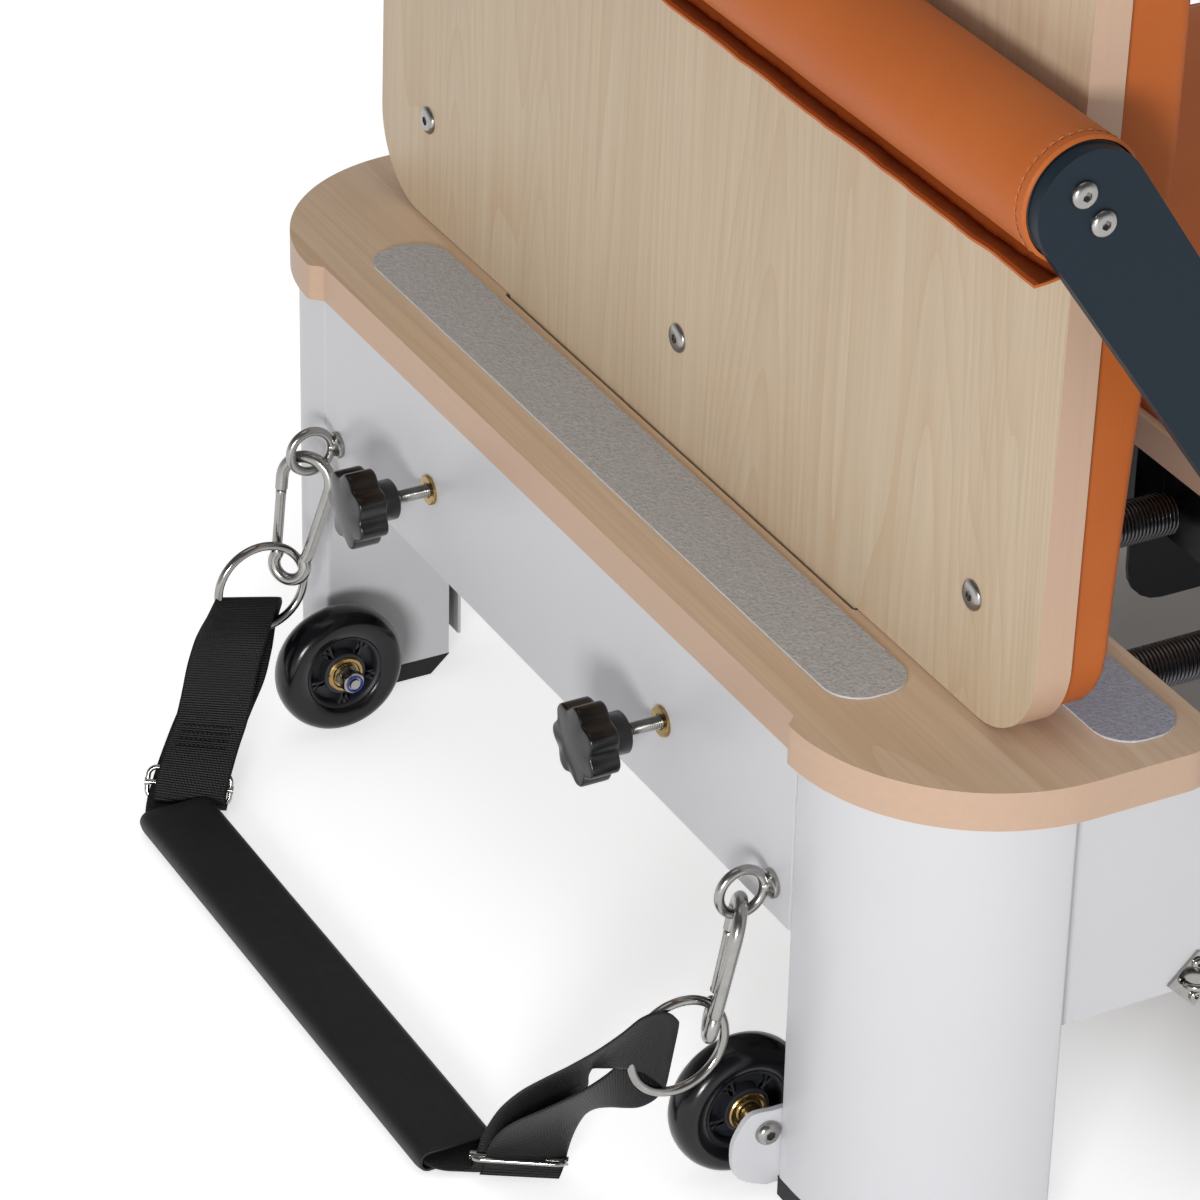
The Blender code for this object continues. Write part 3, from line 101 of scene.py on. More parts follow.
def rounded(x0, x1, y0, y1, radius, steps=6):
    """A rectangle with round corners."""
    corners = ((x1 - radius, y1 - radius), (x0 + radius, y1 - radius),
               (x0 + radius, y0 + radius), (x1 - radius, y0 + radius))
    points = []
    for i, (cx, cy) in enumerate(corners):
        points += arc(cx, cy, radius, 90 * i, 90 * (i + 1), steps)
    return points


def prism(outline, low, high, axis="Z", holes=()):
    """Extrude an outline with holes along an axis."""
    place = AXES[axis]
    shape = bmesh.new()
    loops = [list(outline)] + [list(hole) for hole in holes]
    rings = [[shape.verts.new(place(a, b, height)) for loop in loops for a, b in loop]
             for height in (low, high)]
    for triangle in tessellate_polygon([[Vector((a, b, 0)) for a, b in loop] for loop in loops]):
        for ring in rings:
            shape.faces.new([ring[i] for i in triangle])
    start = 0
    for loop in loops:
        count = len(loop)
        for i in range(count):
            a, b = start + i, start + (i + 1) % count
            shape.faces.new((rings[0][a], rings[0][b], rings[1][b], rings[1][a]))
        start += count
    bmesh.ops.dissolve_limit(shape, angle_limit=0.01, verts=shape.verts, edges=shape.edges)
    return shape


def turned(profile, centre, axis="Y", steps=40, hollow=False):
    """Turn a profile of (radius, place along the axis) round an axis through the centre.

    A radius may be a function of the angle, for lobes and hexagons.
    """
    shape = bmesh.new()
    rings = []
    for radius, along in profile:
        ring = []
        for i in range(steps):
            angle = 2 * math.pi * i / steps
            now = radius(angle) if callable(radius) else radius
            point = AXES[axis](now * math.cos(angle), now * math.sin(angle), along)
            ring.append(shape.verts.new(Vector(centre) + Vector(point)))
        rings.append(ring)
    return skin(rings, shape, hollow)


def tube(points, radius, sides=12, closed=False):
    """A round tube along points; radius is a number or one for each point."""
    points = [Vector(p) for p in points]
    count = len(points)
    radii = radius if isinstance(radius, list) else [radius] * count
    ahead = []
    for i in range(count):
        before = points[i - 1] if closed or i else points[i]
        after = points[(i + 1) % count] if closed or i < count - 1 else points[i]
        ahead.append((after - before).normalized())
    start = Vector((0, 0, 1)) if abs(ahead[0].z) < 0.9 else Vector((1, 0, 0))
    normal = start.cross(ahead[0]).normalized()
    shape = bmesh.new()
    rings = []
    for point, direction, size in zip(points, ahead, radii):
        normal = (normal - direction * normal.dot(direction)).normalized()
        side = direction.cross(normal)
        angles = [2 * math.pi * k / sides for k in range(sides)]
        rings.append([shape.verts.new(point + size * (normal * math.cos(a) + side * math.sin(a)))
                      for a in angles])
    return skin(rings, shape, closed)


def ring_points(centre, radius, count):
    """An upright circle facing along Y."""
    angles = [2 * math.pi * i / count for i in range(count)]
    return [Vector(centre) + radius * (Vector((1, 0, 0)) * math.cos(a) + Vector((0, 0, 1)) * math.sin(a))
            for a in angles]


def smooth_path(points, steps):
    """A smooth curve through points, read a few times between each two."""
    points = [Vector(p) for p in points]
    ends = [2 * points[0] - points[1]] + points + [2 * points[-1] - points[-2]]
    path = []
    for a, b, c, d in zip(ends, ends[1:], ends[2:], ends[3:]):
        for k in range(steps):
            t = k / steps
            path.append(0.5 * (2 * b + (c - a) * t + (2 * a - 5 * b + 4 * c - d) * t * t
                               + (3 * b - a - 3 * c + d) * t * t * t))
    return path + [points[-1]]


def dense(outline, step=14.0):
    """A closed line with more points, each less than two steps from the next."""
    points = []
    for a, b in zip(outline, outline[1:] + outline[:1]):
        a, b = Vector(a), Vector(b)
        count = max(1, int((b - a).length / step))
        points += [tuple(a.lerp(b, k / count)) for k in range(count)]
    return points


def join(*shapes):
    """Put several shapes into one."""
    whole = bmesh.new()
    for shape in shapes:
        mesh = bpy.data.meshes.new("part")
        shape.to_mesh(mesh)
        shape.free()
        whole.from_mesh(mesh)
        bpy.data.meshes.remove(mesh)
    return whole


def hexagon(flats):
    """Radius of a hexagon by angle, from its width across flats."""
    return lambda angle: flats / 2 / math.cos((angle + math.pi / 6) % (math.pi / 3) - math.pi / 6)


def screw_head(centre, axis, out, radius, height, socket):
    """A round-topped socket screw head standing on its centre towards out, which is 1 or -1."""
    dome = [(radius, 0), (radius, height * 0.3), (radius * 0.93, height * 0.62),
            (radius * 0.78, height * 0.88), (radius * 0.62, height), (hexagon(socket), height),
            (hexagon(socket * 0.97), height * 0.35)]
    return turned([(r, out * h) for r, h in dome], centre, axis, 48)


def hex_nut(centre, axis, out, flats, height):
    """A hexagon nut with chamfered corners, its inner ring and the screw's end in it."""
    bore = 3.4
    corner = hexagon(flats)

    def cut(share):
        return lambda angle: min(corner(angle), flats * share)

    chamfer = [(cut(0.5), 0), (cut(0.54), height * 0.08), (corner, height * 0.2), (corner, height * 0.72),
               (cut(0.52), height * 0.84), (flats * 0.43, height * 0.88),
               (flats * 0.43, height * 0.98), (flats * 0.39, height), (bore * 1.25, height),
               (bore * 1.2, height * 0.9), (bore, height * 0.9), (bore * 0.9, height * 1.06)]
    return turned([(r, out * h) for r, h in chamfer], centre, axis, 48)


def thread(centre, axis, radius, start, end, pitch=1.25, depth=0.42):
    """A screw thread from start to end along an axis."""
    steps, rows_a_turn = 20, 5
    shape = bmesh.new()
    rows = max(2, int(abs(end - start) / pitch * rows_a_turn))
    rings = []
    for row in range(rows + 1):
        along = start + (end - start) * row / rows
        ring = []
        for i in range(steps):
            angle = 2 * math.pi * i / steps
            phase = (along / pitch - i / steps) % 1.0
            now = radius - depth * abs(2 * phase - 1)
            point = AXES[axis](now * math.cos(angle), now * math.sin(angle), along)
            ring.append(shape.verts.new(Vector(centre) + Vector(point)))
        rings.append(ring)
    return skin(rings, shape, False)


def ribbon(points, widths, width, thick):
    """A flat strap along points with rounded edges; its UV map is in metres.

    widths holds the direction across the strap at each point, which is only brought to length 1.
    """
    columns = 8
    shape = bmesh.new()
    layer = shape.loops.layers.uv.new("UVMap")
    rings, lengths, travel = [], [], 0.0
    across_places = [math.sin(math.pi / 2 * (2 * k / columns - 1)) for k in range(columns + 1)]
    section = [(u, 1) for u in across_places] + [(u, -1) for u in reversed(across_places)]
    for i, point in enumerate(points):
        before, after = points[max(i - 1, 0)], points[min(i + 1, len(points) - 1)]
        along = (after - before).normalized()
        across = Vector(widths[i]).normalized()
        up = along.cross(across).normalized()
        travel += (point - before).length if i else 0.0
        lengths.append(travel)
        ring = []
        for u, side in section:
            height = side * thick / 2 * (1 - 0.45 * abs(u) ** 10)
            ring.append(shape.verts.new(point + across * u * width / 2 + up * height))
        rings.append(ring)
    count = len(section)

    def face(corners, uvs):
        made = shape.faces.new(corners)
        for loop, uv in zip(made.loops, uvs):
            loop[layer].uv = uv

    for i, (first, second) in enumerate(zip(rings, rings[1:])):
        low, high = lengths[i] * MM, lengths[i + 1] * MM
        for k in range(count):
            m = (k + 1) % count
            a, b = section[k][0] * width / 2 * MM, section[m][0] * width / 2 * MM
            face((first[k], first[m], second[m], second[k]), ((a, low), (b, low), (b, high), (a, high)))
    for ring in (rings[0], rings[-1]):
        for k in range(columns):
            shape.faces.new((ring[k], ring[k + 1], ring[count - 2 - k], ring[count - 1 - k]))
    return shape


def modifier(thing, kind, **settings):
    made = thing.modifiers.new(kind.title(), kind)
    for name, value in settings.items():
        setattr(made, name, value)
    return made


def round_edges(thing, width, segments, angle):
    """Round the edges that are sharper than an angle in degrees; width is in millimetres."""
    modifier(thing, "BEVEL", width=width * MM, segments=segments, limit_method="ANGLE",
             angle_limit=math.radians(angle), harden_normals=True)


def add(name, shape, material, body, replaces=None, bevel=0.0, subdivide=0, sharp=35):
    """Turn a shape in millimetres into a piece that rides on a body."""
    bmesh.ops.recalc_face_normals(shape, faces=shape.faces)
    shape.transform(Matrix.Scale(MM, 4) @ Matrix.Translation((SHIFT, 0, 0)))
    mesh = bpy.data.meshes.new(name)
    shape.to_mesh(mesh)
    shape.free()
    mesh.shade_smooth()
    if sharp:
        mesh.set_sharp_from_angle(angle=math.radians(sharp))
    thing = bpy.data.objects.new(name, mesh)
    bpy.context.collection.objects.link(thing)
    mesh.materials.append(material)
    if bevel:
        round_edges(thing, bevel, 3, 30)
    if subdivide:
        modifier(thing, "SUBSURF", levels=subdivide, render_levels=subdivide)
    if body:
        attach(thing, body)
    if replaces:
        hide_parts(replaces)
    return thing


# Materials
def shade(colour, share):
    """A colour made darker or lighter."""
    return tuple(c * share for c in colour)


class Nodes:
    """A node tree, with short calls to add and join its nodes."""

    def __init__(self, tree):
        self.tree = tree

    def feed(self, socket, value):
        if isinstance(value, bpy.types.NodeSocket):
            self.tree.links.new(value, socket)
        else:
            socket.default_value = value

    def node(self, kind, inputs=None, **settings):
        made = self.tree.nodes.new("ShaderNode" + kind)
        for name, value in settings.items():
            setattr(made, name, value)
        for name, value in (inputs or {}).items():
            self.feed(made.inputs[name], value)
        return made

    def math(self, operation, a, b=0.0, c=0.0):
        return self.node("Math", {0: a, 1: b, 2: c}, operation=operation).outputs[0]

    def smooth_step(self, value, low, high, start=0.0, end=1.0):
        return self.node("MapRange", {"Value": value, "From Min": low, "From Max": high, "To Min": start,
                                      "To Max": end}, interpolation_type="SMOOTHSTEP").outputs["Result"]


class Graph(Nodes):
    """A material's nodes round its main shader."""

    def __init__(self, name, roughness=0.5, metallic=0.0):
        self.material = bpy.data.materials.new(name)
        self.material.use_nodes = True
        super().__init__(self.material.node_tree)
        self.shader = self.tree.nodes["Principled BSDF"]
        self.put("Roughness", roughness)
        self.put("Metallic", metallic)

    def put(self, name, value):
        self.feed(self.shader.inputs[name], value)

    def coords(self, scale=(1, 1, 1)):
        place = self.node("TexCoord").outputs["Object"]
        return self.node("Mapping", {"Vector": place, "Scale": scale}).outputs["Vector"]

    def noise(self, coords, scale, detail=3.0, rough=0.5, distortion=0.0):
        return self.node("TexNoise", {"Vector": coords, "Scale": scale, "Detail": detail, "Roughness": rough,
                                      "Distortion": distortion}).outputs["Fac"]

    def cells(self, coords, scale, feature="F1"):
        made = self.node("TexVoronoi", {"Vector": coords, "Scale": scale}, feature=feature)
        return made.outputs["Distance"]

    def ramp(self, value, *stops):
        made = self.node("ValToRGB", {"Fac": value})
        ramp = made.color_ramp
        while len(ramp.elements) < len(stops):
            ramp.elements.new(0.5)
        for element, (place, colour) in zip(ramp.elements, stops):
            element.position = place
            element.color = (*colour, 1)
        return made.outputs["Color"]

    def mix(self, share, a, b):
        made = self.node("Mix", data_type="RGBA")
        self.feed(made.inputs["Factor"], share)
        sockets = [s for s in made.inputs if s.type == "RGBA"]
        for socket, value in zip(sockets, (a, b)):
            self.feed(socket, (*value, 1) if isinstance(value, tuple) else value)
        return [s for s in made.outputs if s.type == "RGBA"][0]

    def bump(self, height, strength, distance, normal=None):
        made = self.node("Bump", {"Height": height, "Strength": strength, "Distance": distance})
        if normal:
            self.tree.links.new(normal, made.inputs["Normal"])
        return made.outputs["Normal"]

    def facing(self, axis):
        """How far the true surface faces an axis of the part, from -1 to 1."""
        normal = self.node("NewGeometry").outputs["True Normal"]
        local = self.node("VectorTransform", {"Vector": normal}, vector_type="NORMAL", convert_from="WORLD",
                          convert_to="OBJECT").outputs["Vector"]
        return self.node("SeparateXYZ", {"Vector": local}).outputs[axis]


def srgb(red, green, blue):
    """A colour as seen on a screen, 0 to 255, as shader numbers."""
    return tuple(((c / 255 + 0.055) / 1.055) ** 2.4 if c > 10 else c / 255 / 12.92
                 for c in (red, green, blue))


def paint(name, colour, roughness=0.36, gloss=0.5):
    """Powder coat: a faint orange peel and slightly uneven gloss."""
    g = Graph(name, roughness)
    g.put("Specular IOR Level", gloss)
    place = g.coords()
    cloud = g.noise(place, 6.0, 3.0)
    g.put("Base Color", g.ramp(cloud, (0.3, shade(colour, 0.965)), (0.7, colour)))
    g.put("Roughness", g.math("MULTIPLY_ADD", g.noise(place, 900.0, 2.0), 0.1, roughness - 0.05))
    g.put("Normal", g.bump(g.noise(place, 420.0, 2.0), 0.12, 0.0004))
    return g.material


def wood(name, light, dark, edge, along, face_axis, seed, rings):
    """Board with a printed grain on its faces and a plainer band on its edges.

    along is the axis of the grain, face_axis the one that the board's two faces look along.
    """
    g = Graph(name, 0.42)

    def grain(lengthwise, crosswise):
        return g.coords(tuple(lengthwise if axis == along else crosswise for axis in "XYZ"))

    shape = g.noise(grain(0.9, 12), 0.8, 1.5, 0.4, 0.15 + seed)
    waves = g.math("FRACT", g.math("MULTIPLY", shape, rings))
    lines = g.math("POWER", waves, 2.4)
    fibre = g.noise(grain(12, 1100), 1.0, 3.0, 0.6)
    streaks = g.noise(grain(4, 300), 1.0, 3.0, 0.55)
    clouds = g.noise(grain(1.5, 22), 1.0, 2.0, 0.5)
    tone = g.math("MULTIPLY_ADD", fibre, 0.30, g.math("MULTIPLY", clouds, 0.35))
    tone = g.math("MULTIPLY_ADD", streaks, 0.45, tone)
    face = g.ramp(tone, (0.40, dark), (0.66, light))
    line_colour = tuple(c * k for c, k in zip(dark, (0.93, 0.84, 0.72)))
    face = g.mix(g.math("MULTIPLY", lines, 0.42), face, line_colour)
    pores = g.math("GREATER_THAN", g.noise(grain(19.2, 1760), 1.0, 1.0), 0.68)
    face = g.mix(g.math("MULTIPLY", pores, 0.10), face, shade(dark, 0.5))
    band = g.ramp(g.math("MULTIPLY_ADD", streaks, 0.6, g.math("MULTIPLY", fibre, 0.4)),
                  (0.35, shade(edge, 0.95)), (0.65, edge))
    turn = g.math("ABSOLUTE", g.facing(face_axis))
    rim = g.math("MULTIPLY", g.math("GREATER_THAN", turn, 0.3), g.math("LESS_THAN", turn, 0.96))
    band = g.mix(g.math("MULTIPLY", rim, 0.5), band, srgb(186, 158, 160))
    flat = g.math("GREATER_THAN", turn, 0.9)
    g.put("Base Color", g.mix(flat, band, face))
    g.put("Roughness", g.math("MULTIPLY_ADD", fibre, 0.16, 0.36))
    g.put("Normal", g.bump(g.math("MULTIPLY_ADD", fibre, 0.5, g.math("MULTIPLY", lines, 0.25)), 0.12, 0.0003))
    return g.material


def leather(name, colour, dark):
    """Synthetic leather: pebbled bump and slow changes of tone."""
    g = Graph(name, 0.46)
    place = g.coords()
    tone = g.noise(place, 9.0, 3.0, 0.6)
    g.put("Base Color", g.ramp(tone, (0.25, dark), (0.75, colour)))
    pebble = g.cells(place, 900.0)
    fine = g.noise(place, 2600.0, 2.0)
    g.put("Roughness", g.math("MULTIPLY_ADD", pebble, 0.15, 0.40))
    first = g.bump(pebble, 0.22, 0.0003)
    g.put("Normal", g.bump(fine, 0.15, 0.00012, first))
    g.put("Specular IOR Level", 0.2)
    return g.material


def steel(name, colour, roughness, wear=0.12):
    """Plated or bright steel with faint smears in its gloss."""
    g = Graph(name, roughness, 1.0)
    place = g.coords()
    smear = g.noise(place, 90.0, 4.0, 0.6)
    g.put("Base Color", g.ramp(smear, (0.3, shade(colour, 0.82)), (0.7, colour)))
    g.put("Roughness", g.math("MULTIPLY_ADD", g.noise(place, 700.0, 3.0), wear, roughness - wear / 2))
    g.put("Normal", g.bump(g.noise(place, 1500.0, 2.0), 0.08, 0.0001))
    return g.material


def moulded(name, colour, roughness=0.32, grain=0.1, scale=1400.0, gloss=0.35):
    """Moulded plastic or rubber."""
    g = Graph(name, roughness)
    g.put("Specular IOR Level", gloss)
    place = g.coords()
    g.put("Base Color", g.ramp(g.noise(place, 40.0, 3.0), (0.3, shade(colour, 0.8)), (0.7, colour)))
    g.put("Roughness", g.math("MULTIPLY_ADD", g.noise(place, scale / 6, 2.0), 0.14, roughness - 0.07))
    g.put("Normal", g.bump(g.noise(place, scale, 3.0), grain, 0.0003))
    return g.material


def grit(name, colour, edge):
    """Grip strip: coarse grit on top and a pale cut edge."""
    g = Graph(name, 0.55)
    place = g.coords()
    lumps = g.cells(place, 420.0, "SMOOTH_F1")
    worms = g.noise(place, 520.0, 2.0, 0.5, 1.4)
    height = g.math("MULTIPLY_ADD", worms, 0.8, g.math("MULTIPLY", lumps, 0.6))
    # The top's colour follows the grit's height: darker in its hollows, painted shade, and lighter on its
    # lumps, painted highlight.
    top = g.ramp(height, (0.35, shade(colour, 0.82)), (0.62, colour), (0.85, shade(colour, 1.12)))
    up = g.math("GREATER_THAN", g.facing("Z"), 0.7)
    g.put("Base Color", g.mix(up, edge, top))
    g.put("Normal", g.bump(height, 0.8, 0.0012))
    return g.material


RIB_PITCH = 0.0015          # in metres, like the strap's UV map
SELVEDGE = 0.0172           # from the strap's middle to its firmer edge


def woven(name, colour):
    """Webbing: ribs across the strap with a fine diagonal twill, laid out by the strap's own UV map.

    U runs across and V along the strap, both in metres.
    """
    g = Graph(name, 0.52)
    place = g.node("UVMap").outputs["UV"]
    parts = g.node("SeparateXYZ", {"Vector": place}).outputs
    rib = g.math("SINE", g.math("MULTIPLY", parts["Y"], 2 * math.pi / RIB_PITCH))
    slant = g.math("ADD", parts["X"], g.math("MULTIPLY", parts["Y"], 0.5))
    cross = g.math("SINE", g.math("MULTIPLY", slant, 2 * math.pi / (RIB_PITCH * 1.4)))
    height = g.math("MULTIPLY_ADD", cross, 0.3, rib)
    edge = g.math("GREATER_THAN", g.math("ABSOLUTE", parts["X"]), SELVEDGE)
    height = g.math("MULTIPLY_ADD", edge, 0.8, height)
    # The colour follows the weave's height: darker down in its hollows, painted shade, and darkened less on
    # the raised edges.
    level = g.math("MULTIPLY_ADD", height, 0.28, 0.5)
    g.put("Base Color", g.ramp(level, (0.2, shade(colour, 0.45)), (0.8, colour)))
    g.put("Normal", g.bump(level, 0.9, 0.0006))
    g.put("Sheen Weight", 0.06)
    g.put("Sheen Roughness", 0.35)
    g.put("Specular IOR Level", 0.32)
    return g.material


WHITE = paint("white_powder_coat", srgb(214, 214, 217))
BLACK_PAINT = paint("black_powder_coat", srgb(15, 16, 20), 0.42, 0.25)
SLATE = paint("slate_powder_coat", srgb(31, 43, 52), 0.42, 0.14)
BOARD_COLOURS = (srgb(226, 201, 173), srgb(208, 181, 151), srgb(203, 171, 146))
PANEL_COLOURS = (srgb(207, 188, 161), srgb(195, 173, 144), srgb(204, 171, 146))
PLATFORM_WOOD = wood("platform_board_grain", *BOARD_COLOURS, "Y", "Z", 0.0, 9.0)
PANEL_WOOD = wood("jump_board_grain", *PANEL_COLOURS, "Z", "X", 0.1, 34.0)
CARRIAGE_WOOD = wood("carriage_board_grain", *BOARD_COLOURS, "Y", "Z", 0.2, 9.0)
ORANGE = leather("orange_leather", srgb(191, 103, 47), srgb(182, 94, 40))
ORANGE_THREAD = moulded("orange_thread", srgb(196, 122, 74), 0.6, 0.2)
STEEL = steel("zinc_plated_steel", (0.40, 0.39, 0.375), 0.24)
CHROME = steel("bright_ring_steel", (0.38, 0.37, 0.355), 0.15, 0.06)
SPRING_WIRE = steel("dark_spring_wire", (0.16, 0.16, 0.17), 0.3)
GOLD = steel("yellow_zinc", (0.44, 0.30, 0.12), 0.26)
BLACK_PLASTIC = moulded("black_plastic", srgb(17, 17, 18), 0.22, 0.05, 1400.0, 0.45)
TYRE = moulded("black_wheel_tyre", srgb(12, 13, 16), 0.2, 0.03, 1400.0, 0.4)
HUB = moulded("black_wheel_hub", srgb(40, 41, 46), 0.42, 0.12)
RUBBER = moulded("black_rubber", srgb(24, 24, 25), 0.6, 0.25)
HANDLE_FOAM = moulded("handle_foam", srgb(33, 33, 34), 0.5, 0.35, 1000.0)
BLACK_THREAD = moulded("black_thread", srgb(30, 30, 32), 0.5, 0.2)
DARK_LINE = moulded("board_backing", srgb(34, 34, 40), 0.6)
VELCRO = moulded("hook_tape", srgb(120, 54, 20), 0.95, 0.9, 2200.0, 0.1)
BLUE = moulded("locknut_ring", srgb(36, 60, 160), 0.4)
GRIP = grit("grip_strip_grey", srgb(186, 187, 189), srgb(215, 215, 218))
GRIP_REAR = grit("grip_strip_bluish", srgb(163, 165, 178), srgb(208, 208, 214))
WEBBING = woven("black_webbing", srgb(20, 20, 23))


# Stage: floor, light and camera; the camera's place is in millimetres and all the rest in metres
SHADE_MIDDLE = -0.40        # x of the middle of the floor's painted shade under the foot half
SHADE_REACH = (0.46, 0.33)  # half its length and half its width
FLOOR_HALF, FLOOR_DROP = 14, 0.0006


def make_floor():
    """A floor that looks almost white; under the foot half it glows less, so that it keeps the shadow, and
    its colour is darker there, which is painted shade.
    """
    g = Graph("pale_floor", 0.9)
    rays = g.node("LightPath").outputs
    seen = g.math("MAXIMUM", rays["Is Glossy Ray"], rays["Is Transmission Ray"])
    seen = g.math("MAXIMUM", rays["Is Camera Ray"], seen)
    parts = g.node("SeparateXYZ", {"Vector": g.coords()}).outputs
    along = g.math("ABSOLUTE", g.math("SUBTRACT", parts["X"], SHADE_MIDDLE))
    across = g.math("ABSOLUTE", parts["Y"])
    far = g.math("MAXIMUM", g.math("SUBTRACT", along, SHADE_REACH[0]),
                 g.math("SUBTRACT", across, SHADE_REACH[1]))
    clear = g.smooth_step(far, -0.12, 0.1)
    inner = g.smooth_step(far, -0.24, -0.02)
    # Under the foot half the floor's own colour is darker: painted shade.
    g.put("Base Color", g.mix(inner, (0.46, 0.455, 0.44), (0.86, 0.86, 0.86)))
    g.put("Emission Color", (1, 1, 1, 1))
    g.put("Emission Strength", g.math("MULTIPLY", seen, g.math("MULTIPLY_ADD", clear, 0.52, 0.06)))
    mesh = bpy.data.meshes.new("floor")
    corners = ((-1, -1), (1, -1), (1, 1), (-1, 1))
    mesh.from_pydata([(FLOOR_HALF * x, FLOOR_HALF * y, -FLOOR_DROP) for x, y in corners], [], [(0, 1, 2, 3)])
    floor = bpy.data.objects.new("floor", mesh)
    mesh.materials.append(g.material)
    bpy.context.collection.objects.link(floor)


def make_world():
    """Even light, a graded sky for reflections, and plain white behind the object."""
    world = bpy.data.worlds.new("studio")
    world.use_nodes = True
    tree = Nodes(world.node_tree)
    tree.tree.nodes.clear()
    rays = tree.node("LightPath").outputs
    lit = tree.node("Background", {"Color": (0.985, 0.99, 1.0, 1), "Strength": 0.42})
    shown = tree.node("Background", {"Color": (1, 1, 1, 1), "Strength": 1.0})
    height = tree.node("SeparateXYZ", {0: tree.node("TexCoord").outputs["Generated"]}).outputs["Z"]
    sky = tree.node("Background", {"Strength": tree.smooth_step(height, 0.02, 0.55, 0.85, 0.16)})
    mirror = tree.node("MixShader", {0: rays["Is Glossy Ray"], 1: lit.outputs[0], 2: sky.outputs[0]})
    either = tree.math("MAXIMUM", rays["Is Camera Ray"], rays["Is Transmission Ray"])
    whole = tree.node("MixShader", {0: either, 1: mirror.outputs[0], 2: shown.outputs[0]})
    tree.node("OutputWorld", {"Surface": whole.outputs[0]})
    bpy.context.scene.world = world
    bpy.context.scene.view_settings.view_transform = "Standard"


def make_lights():
    for name, place, aim, size, power in (
            ("key_light", (-3.75, -3.4, 1.2), (-1.1, 0.0, 0.2), (1.0, 0.8), 108),
            ("top_light", (-0.9, 0.4, 4.6), (-0.8, 0.0, 0.3), (3.0, 3.0), 20)):
        data = bpy.data.lights.new(name, "AREA")
        data.shape = "RECTANGLE"
        data.size, data.size_y = size
        data.energy = power
        lamp = bpy.data.objects.new(name, data)
        lamp.location = place
        lamp.rotation_euler = (Vector(aim) - Vector(place)).to_track_quat("-Z", "Y").to_euler()
        bpy.context.collection.objects.link(lamp)


CAMERA_ANGLES = (-28.68, 30.68, 1.30)       # azimuth, elevation and roll in degrees
CAMERA_PLACE = (-1117.4, -2111.1, 1634.8)
FOCAL_PIXELS, PHOTO_PIXELS, SENSOR = 5110, 1200, 36.0


def make_camera():
    """The photograph's own viewpoint, fitted to its straight edges."""
    azimuth, elevation, roll = (math.radians(v) for v in CAMERA_ANGLES)
    back = Vector((math.sin(azimuth) * math.cos(elevation), -math.cos(azimuth) * math.cos(elevation),
                   math.sin(elevation)))
    right = Vector((math.cos(azimuth), math.sin(azimuth), 0))
    up = back.cross(right)
    right = right * math.cos(roll) + up * math.sin(roll)
    up = back.cross(right)
    data = bpy.data.cameras.new("camera")
    data.sensor_width = SENSOR
    data.lens = SENSOR * FOCAL_PIXELS / PHOTO_PIXELS
    data.clip_end = 100
    camera = bpy.data.objects.new("camera", data)
    camera.matrix_world = Matrix((right, up, back)).transposed().to_4x4()
    camera.location = at(*CAMERA_PLACE)
    bpy.context.collection.objects.link(camera)
    bpy.context.scene.camera = camera


# CAD nodes that keep their shape
def dress(node, material, bevel):
    """Give a CAD node its material and slightly rounded edges."""
    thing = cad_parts[node]
    for place in thing.material_slots:
        place.material = material
    modifier(thing, "WELD", merge_threshold=0.00002)
    modifier(thing, "DECIMATE", decimate_type="DISSOLVE", angle_limit=math.radians(0.6))
    round_edges(thing, bevel, 2, 38)


def dress_frame():
    for stem in ("foot_rail", "head_rail"):
        for name, _ in SIDES:
            dress(f"{stem}_{name}", WHITE, 0.7)
    for node in ("foot_end_beam", "middle_leg_frame", "head_end_beam"):
        dress(node, WHITE, 0.6)
    for name, _ in SIDES:
        dress(f"hinge_pin_{name}", STEEL, 0.4)
        dress(f"pulley_{name}", BLACK_PLASTIC, 0.5)
        for end in ("front", "rear"):
            dress(f"roller_{end}_{name}", RUBBER, 1.0)
    dress("spring_bar", BLACK_PAINT, 0.8)
    dress("carriage_chassis", BLACK_PAINT, 0.6)


# Platform, legs and shoes
BOARD_UNDER = 273.0
BOARD_HALF, BOARD_ROUND = 389.0, 110.0
RECESS_HALF, RECESS_DEPTH = 271.0, 7.0
GRIP_ROUND = 20.0


def platform_outline():
    """Half of the board's edge from where the recess begins to curve out, then mirrored."""
    corner_y = BOARD_HALF - BOARD_ROUND
    half = []
    for i in range(13):
        t = i / 12
        ease = t * t * (3 - 2 * t)
        half.append((-RECESS_DEPTH * ease, RECESS_HALF + (corner_y - RECESS_HALF) * t))
    half += arc(BOARD_ROUND - RECESS_DEPTH, corner_y, BOARD_ROUND, 180, 90, 48)[1:]
    half += arc(157.0, 363.0, 26.0, 90, 0, 14)
    return half + [(x, -y) for x, y in reversed(half)]


def make_platform():
    slot = rounded(78.2, 101.7, -197.0, 197.0, 3, 4)
    board = prism(platform_outline(), BOARD_UNDER, TOP, holes=[slot])
    add("platform_top", board, PLATFORM_WOOD, "foot_frame", "platform_board", bevel=0.9)
    for name, x, depth, half, material in (("front", 25.5, 46.5, 275.0, GRIP),
                                           ("rear", 125.0, 46.0, 369.0, GRIP_REAR)):
        strip = prism(rounded(x, x + depth, -half, half, GRIP_ROUND, 14), TOP + 0.1, TOP + 1.3)
        add(f"grip_tape_{name}", strip, material, "foot_frame", f"grip_strip_{name}", bevel=0.25)


LEG_ROUND = 92.0
LEG_OUTER = 381.0
LEG_FRONT = 1.5
LEG_LOW, LEG_HIGH = 12.0, 272.7
SHEET = 2.0
SHOE_HEIGHT = 11.8
SHOE_BACK = 83.4
SHOE_SLOPE = 12.8


